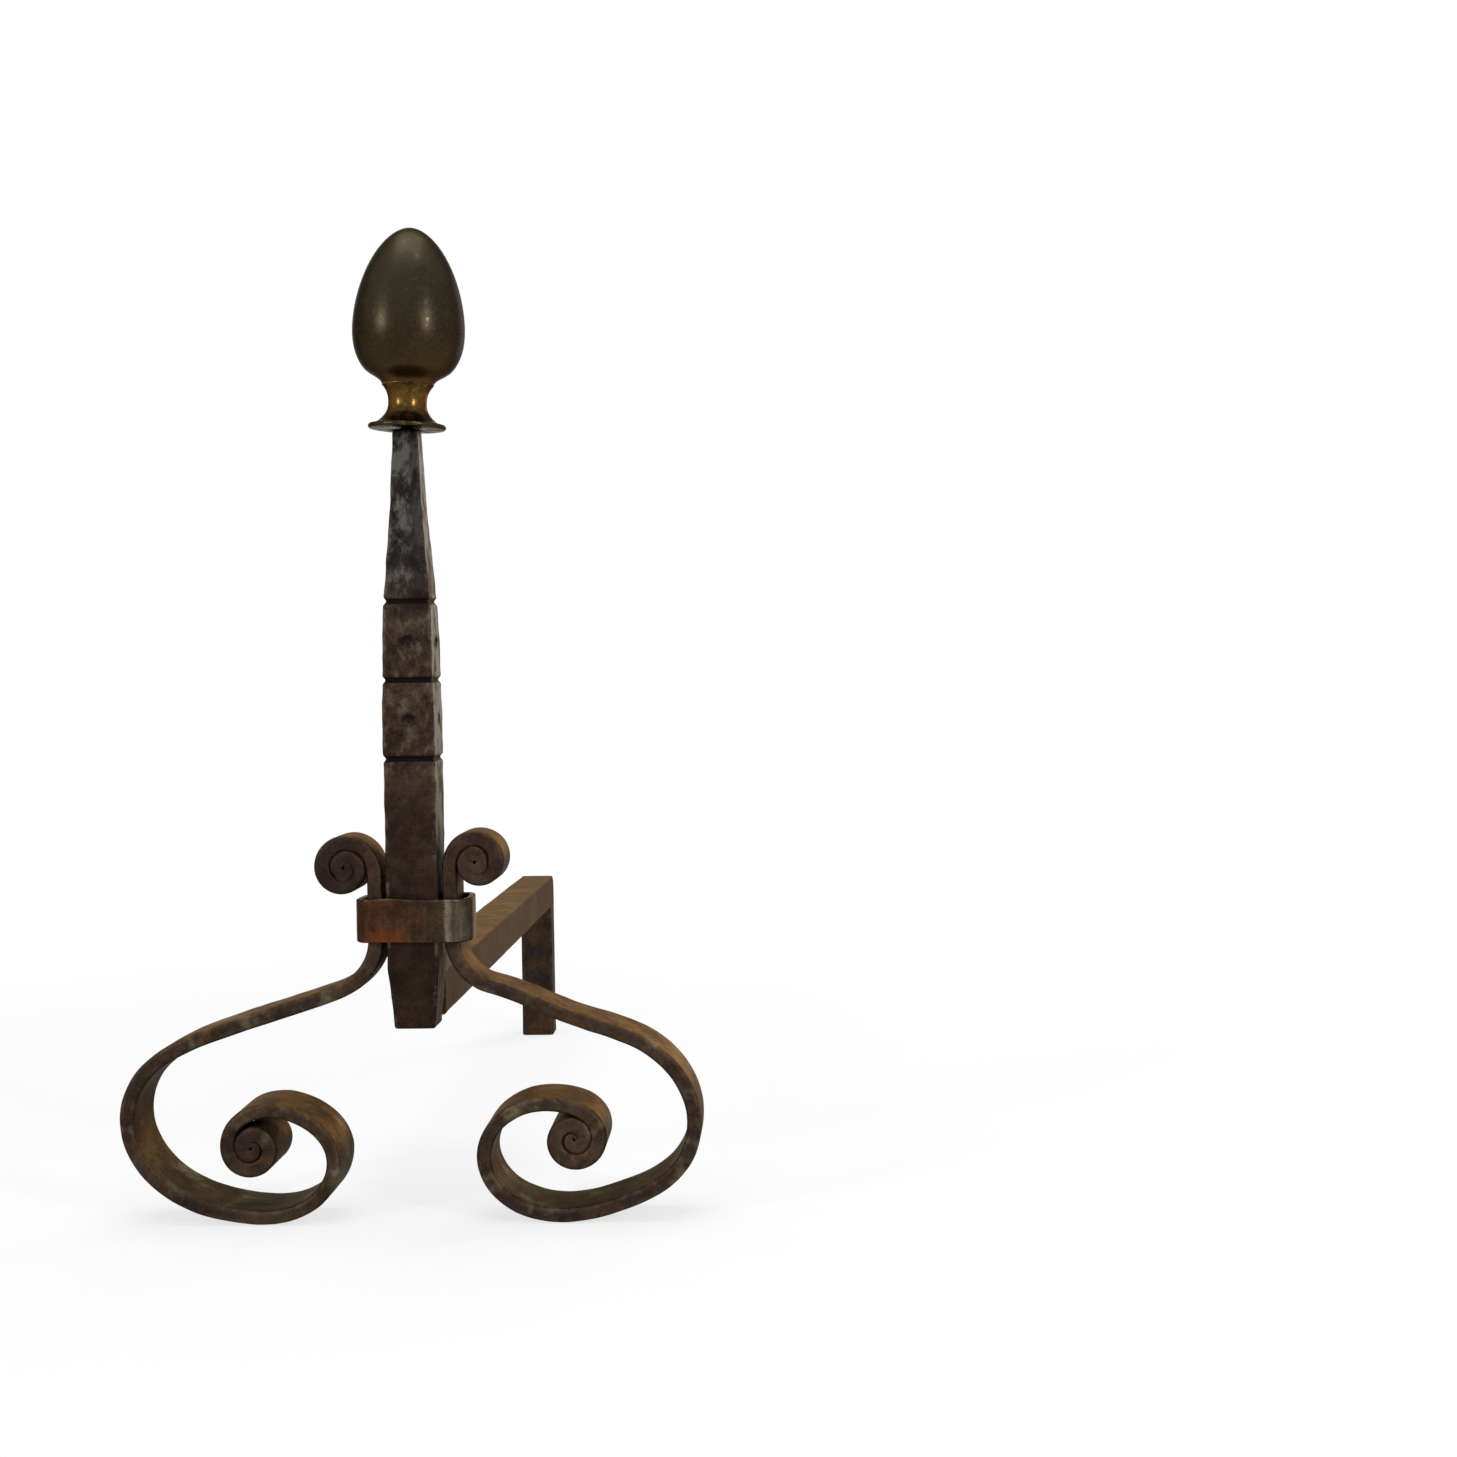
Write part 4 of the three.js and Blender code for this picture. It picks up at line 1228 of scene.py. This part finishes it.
def base_profile():
    rim_top = FLANGE_Z + FLANGE_THICKNESS
    foot_radius, foot_z = FLANGE_RADIUS - BELL_INSET, rim_top + BELL_LIFT
    profile = [(BORE_RADIUS, FLANGE_Z), (FLANGE_RADIUS * 0.6, FLANGE_Z)]
    for i in range(9):
        angle = math.radians(-90 + 22.5 * i)
        profile.append((
            FLANGE_RADIUS - FLANGE_ROUND + FLANGE_ROUND * math.cos(angle),
            FLANGE_Z + FLANGE_THICKNESS / 2 * (1 + math.sin(angle)),
        ))
    profile += [(foot_radius + 1.4, rim_top + 0.22), (foot_radius + 0.5, foot_z - 0.25)]
    profile += flared(foot_radius, foot_z, np.linspace(1, 0, 17))
    profile += flared(MOUTH_RADIUS, SEAM_Z, np.linspace(0, 1, 13)[1:])
    # the rolled lip of the mouth
    for out, up in ((0.10, 0.10), (0.16, 0.25), (0.10, 0.40), (-0.2, 0.45), (-0.5, 0)):
        profile.append((MOUTH_RADIUS + out, SEAM_Z + up))
    return profile + [(BORE_RADIUS, z) for z in (SEAM_Z, SEAM_Z - 7, FLANGE_Z + 7)]


def bright_brass():
    material, where = new_material("bright_brass")
    up = height_of(where, 380, 402)
    cloud = noise(where, 9, 5, 0.6, shift=2.7)
    base = ramp(
        up + eased(cloud, 0.3, 0.7, -0.10, 0.10) * eased(up, 0.9, 0.7), (0.0, (52, 46, 36)),
        (0.2, (60, 52, 36)), (0.42, (74, 56, 28)), (0.66, (92, 66, 30)), (0.85, (72, 52, 24)),
        (0.97, (62, 48, 24)), (0.99, (128, 104, 54)),
    )
    stain = eased(noise(where, 5, 5, 0.65, shift=5.2), 0.46, 0.66)
    tone = mix(stain * 0.6, base, (44, 31, 19))
    rubbed = eased(noise(where, 3.5, 4, 0.6, shift=9.9), 0.52, 0.7) * 0.4
    tone = mix(rubbed, tone, (132, 98, 48))
    turning_lines = noise(where, 0.9, 3, 0.6, stretch=(6, 6, 1), shift=1.1)
    return finished(
        material, BRASS, tone, eased(stain, 0, 1, 0.24, 0.42), eased(stain, 0, 1, 0.95, 0.8),
        turning_lines * 0.5 + stain * 0.5, 0.05,
    )


turned_piece("turned_base", base_profile(), bright_brass(), "finial_base", "bright_brass")

# ----------------------------------------
# Egg. A hollow brass casting, turned smooth and screwed down on the base. Smoke and years have
# given it a dull olive-brown skin, with faint dents that the light finds.
# ----------------------------------------

EGG_RADIUS = 26.79
EGG_WIDEST_Z = 428.0
EGG_TOP_HEIGHT = 48.49
EGG_UNDER_HEIGHT = 28.9
EGG_TOP_CURVE, EGG_TOP_FULLNESS, EGG_UNDER_CURVE = 1.75, 0.545, 2.38
EGG_WALL = 3.0
EGG_FOOT_Z = SEAM_Z + 0.3
EGG_BOSS_Z = EGG_FOOT_Z + 8
# radii where the egg's underside runs out into the base, a millimetre apart from its foot up
EGG_FOOT_FLARE = (12.2, 12.6, 13.4, 14.7, 16.4, 18.2, 19.7, 20.9, 21.8)
EGG_SIDE_FROM_Z = SEAM_Z + 9.3


def egg_side(start_z, inset, count):
    """One side of an egg, from a height up to its tip, in points evenly spaced by angle."""
    top_height, under_height = EGG_TOP_HEIGHT - inset, EGG_UNDER_HEIGHT - inset
    start = -math.asin((EGG_WIDEST_Z - start_z) / under_height)
    side = []
    for i in range(count):
        rise = math.sin(start + (math.pi / 2 - start) * i / count)
        if rise >= 0:
            share, height = (1 - rise ** EGG_TOP_CURVE) ** EGG_TOP_FULLNESS, top_height
        else:
            share, height = math.sqrt(1 - (-rise) ** EGG_UNDER_CURVE), under_height
        side.append(((EGG_RADIUS - inset) * share, EGG_WIDEST_Z + rise * height))
    return side


def egg_profile():
    top_z = EGG_WIDEST_Z + EGG_TOP_HEIGHT
    fine = np.interp(np.linspace(0, 8, 25), range(9), EGG_FOOT_FLARE).tolist()
    fine = np.convolve([fine[0]] * 2 + fine + [fine[-1]] * 2, np.ones(5) / 5, "valid")
    outside = list(zip(fine[:-3], np.linspace(EGG_FOOT_Z, EGG_FOOT_Z + 8, 25)[:-3]))
    return [
        (BORE_RADIUS, EGG_FOOT_Z), *outside, *egg_side(EGG_SIDE_FROM_Z, 0, 84), (0, top_z),
        (0, top_z - EGG_WALL), *reversed(egg_side(EGG_BOSS_Z, EGG_WALL, 24)),
        (BORE_RADIUS, EGG_BOSS_Z),
    ]


def dull_brass():
    material, where = new_material("dull_brass")
    base = ramp(
        height_of(where, 401, 477), (0.0, (80, 60, 26)), (0.06, (66, 50, 25)),
        (0.14, (54, 43, 24)), (0.3, (45, 37, 26)), (0.6, (51, 46, 36)), (1.0, (60, 55, 45)),
    )
    cloud = noise(where, 18, 4, 0.55, shift=3.8)
    tone = mix(eased(cloud, 0.4, 0.65, 0.0, 0.35), base, (32, 27, 20))
    fine = noise(where, 1.6, 4, 0.65, shift=6.6)
    tone = mix(eased(fine, 0.42, 0.7, 0.0, 0.3), tone, (66, 58, 40))
    worn = eased(noise(where, 5, 6, 0.7, shift=2.9), 0.58, 0.72)
    tone = mix(worn * 0.35, tone, (92, 82, 56))
    dents = noise(where, 7, 2, 0.5, shift=4.1)
    return finished(
        material, BRASS, tone, eased(fine, 0.35, 0.7, 0.30, 0.40) + worn * -0.06,
        eased(worn, 0, 1, 0.9, 1.0), dents * 0.7 + fine * 0.3, 0.08,
    )


turned_piece("brass_egg", egg_profile(), dull_brass(), "finial_egg", "dull_brass")
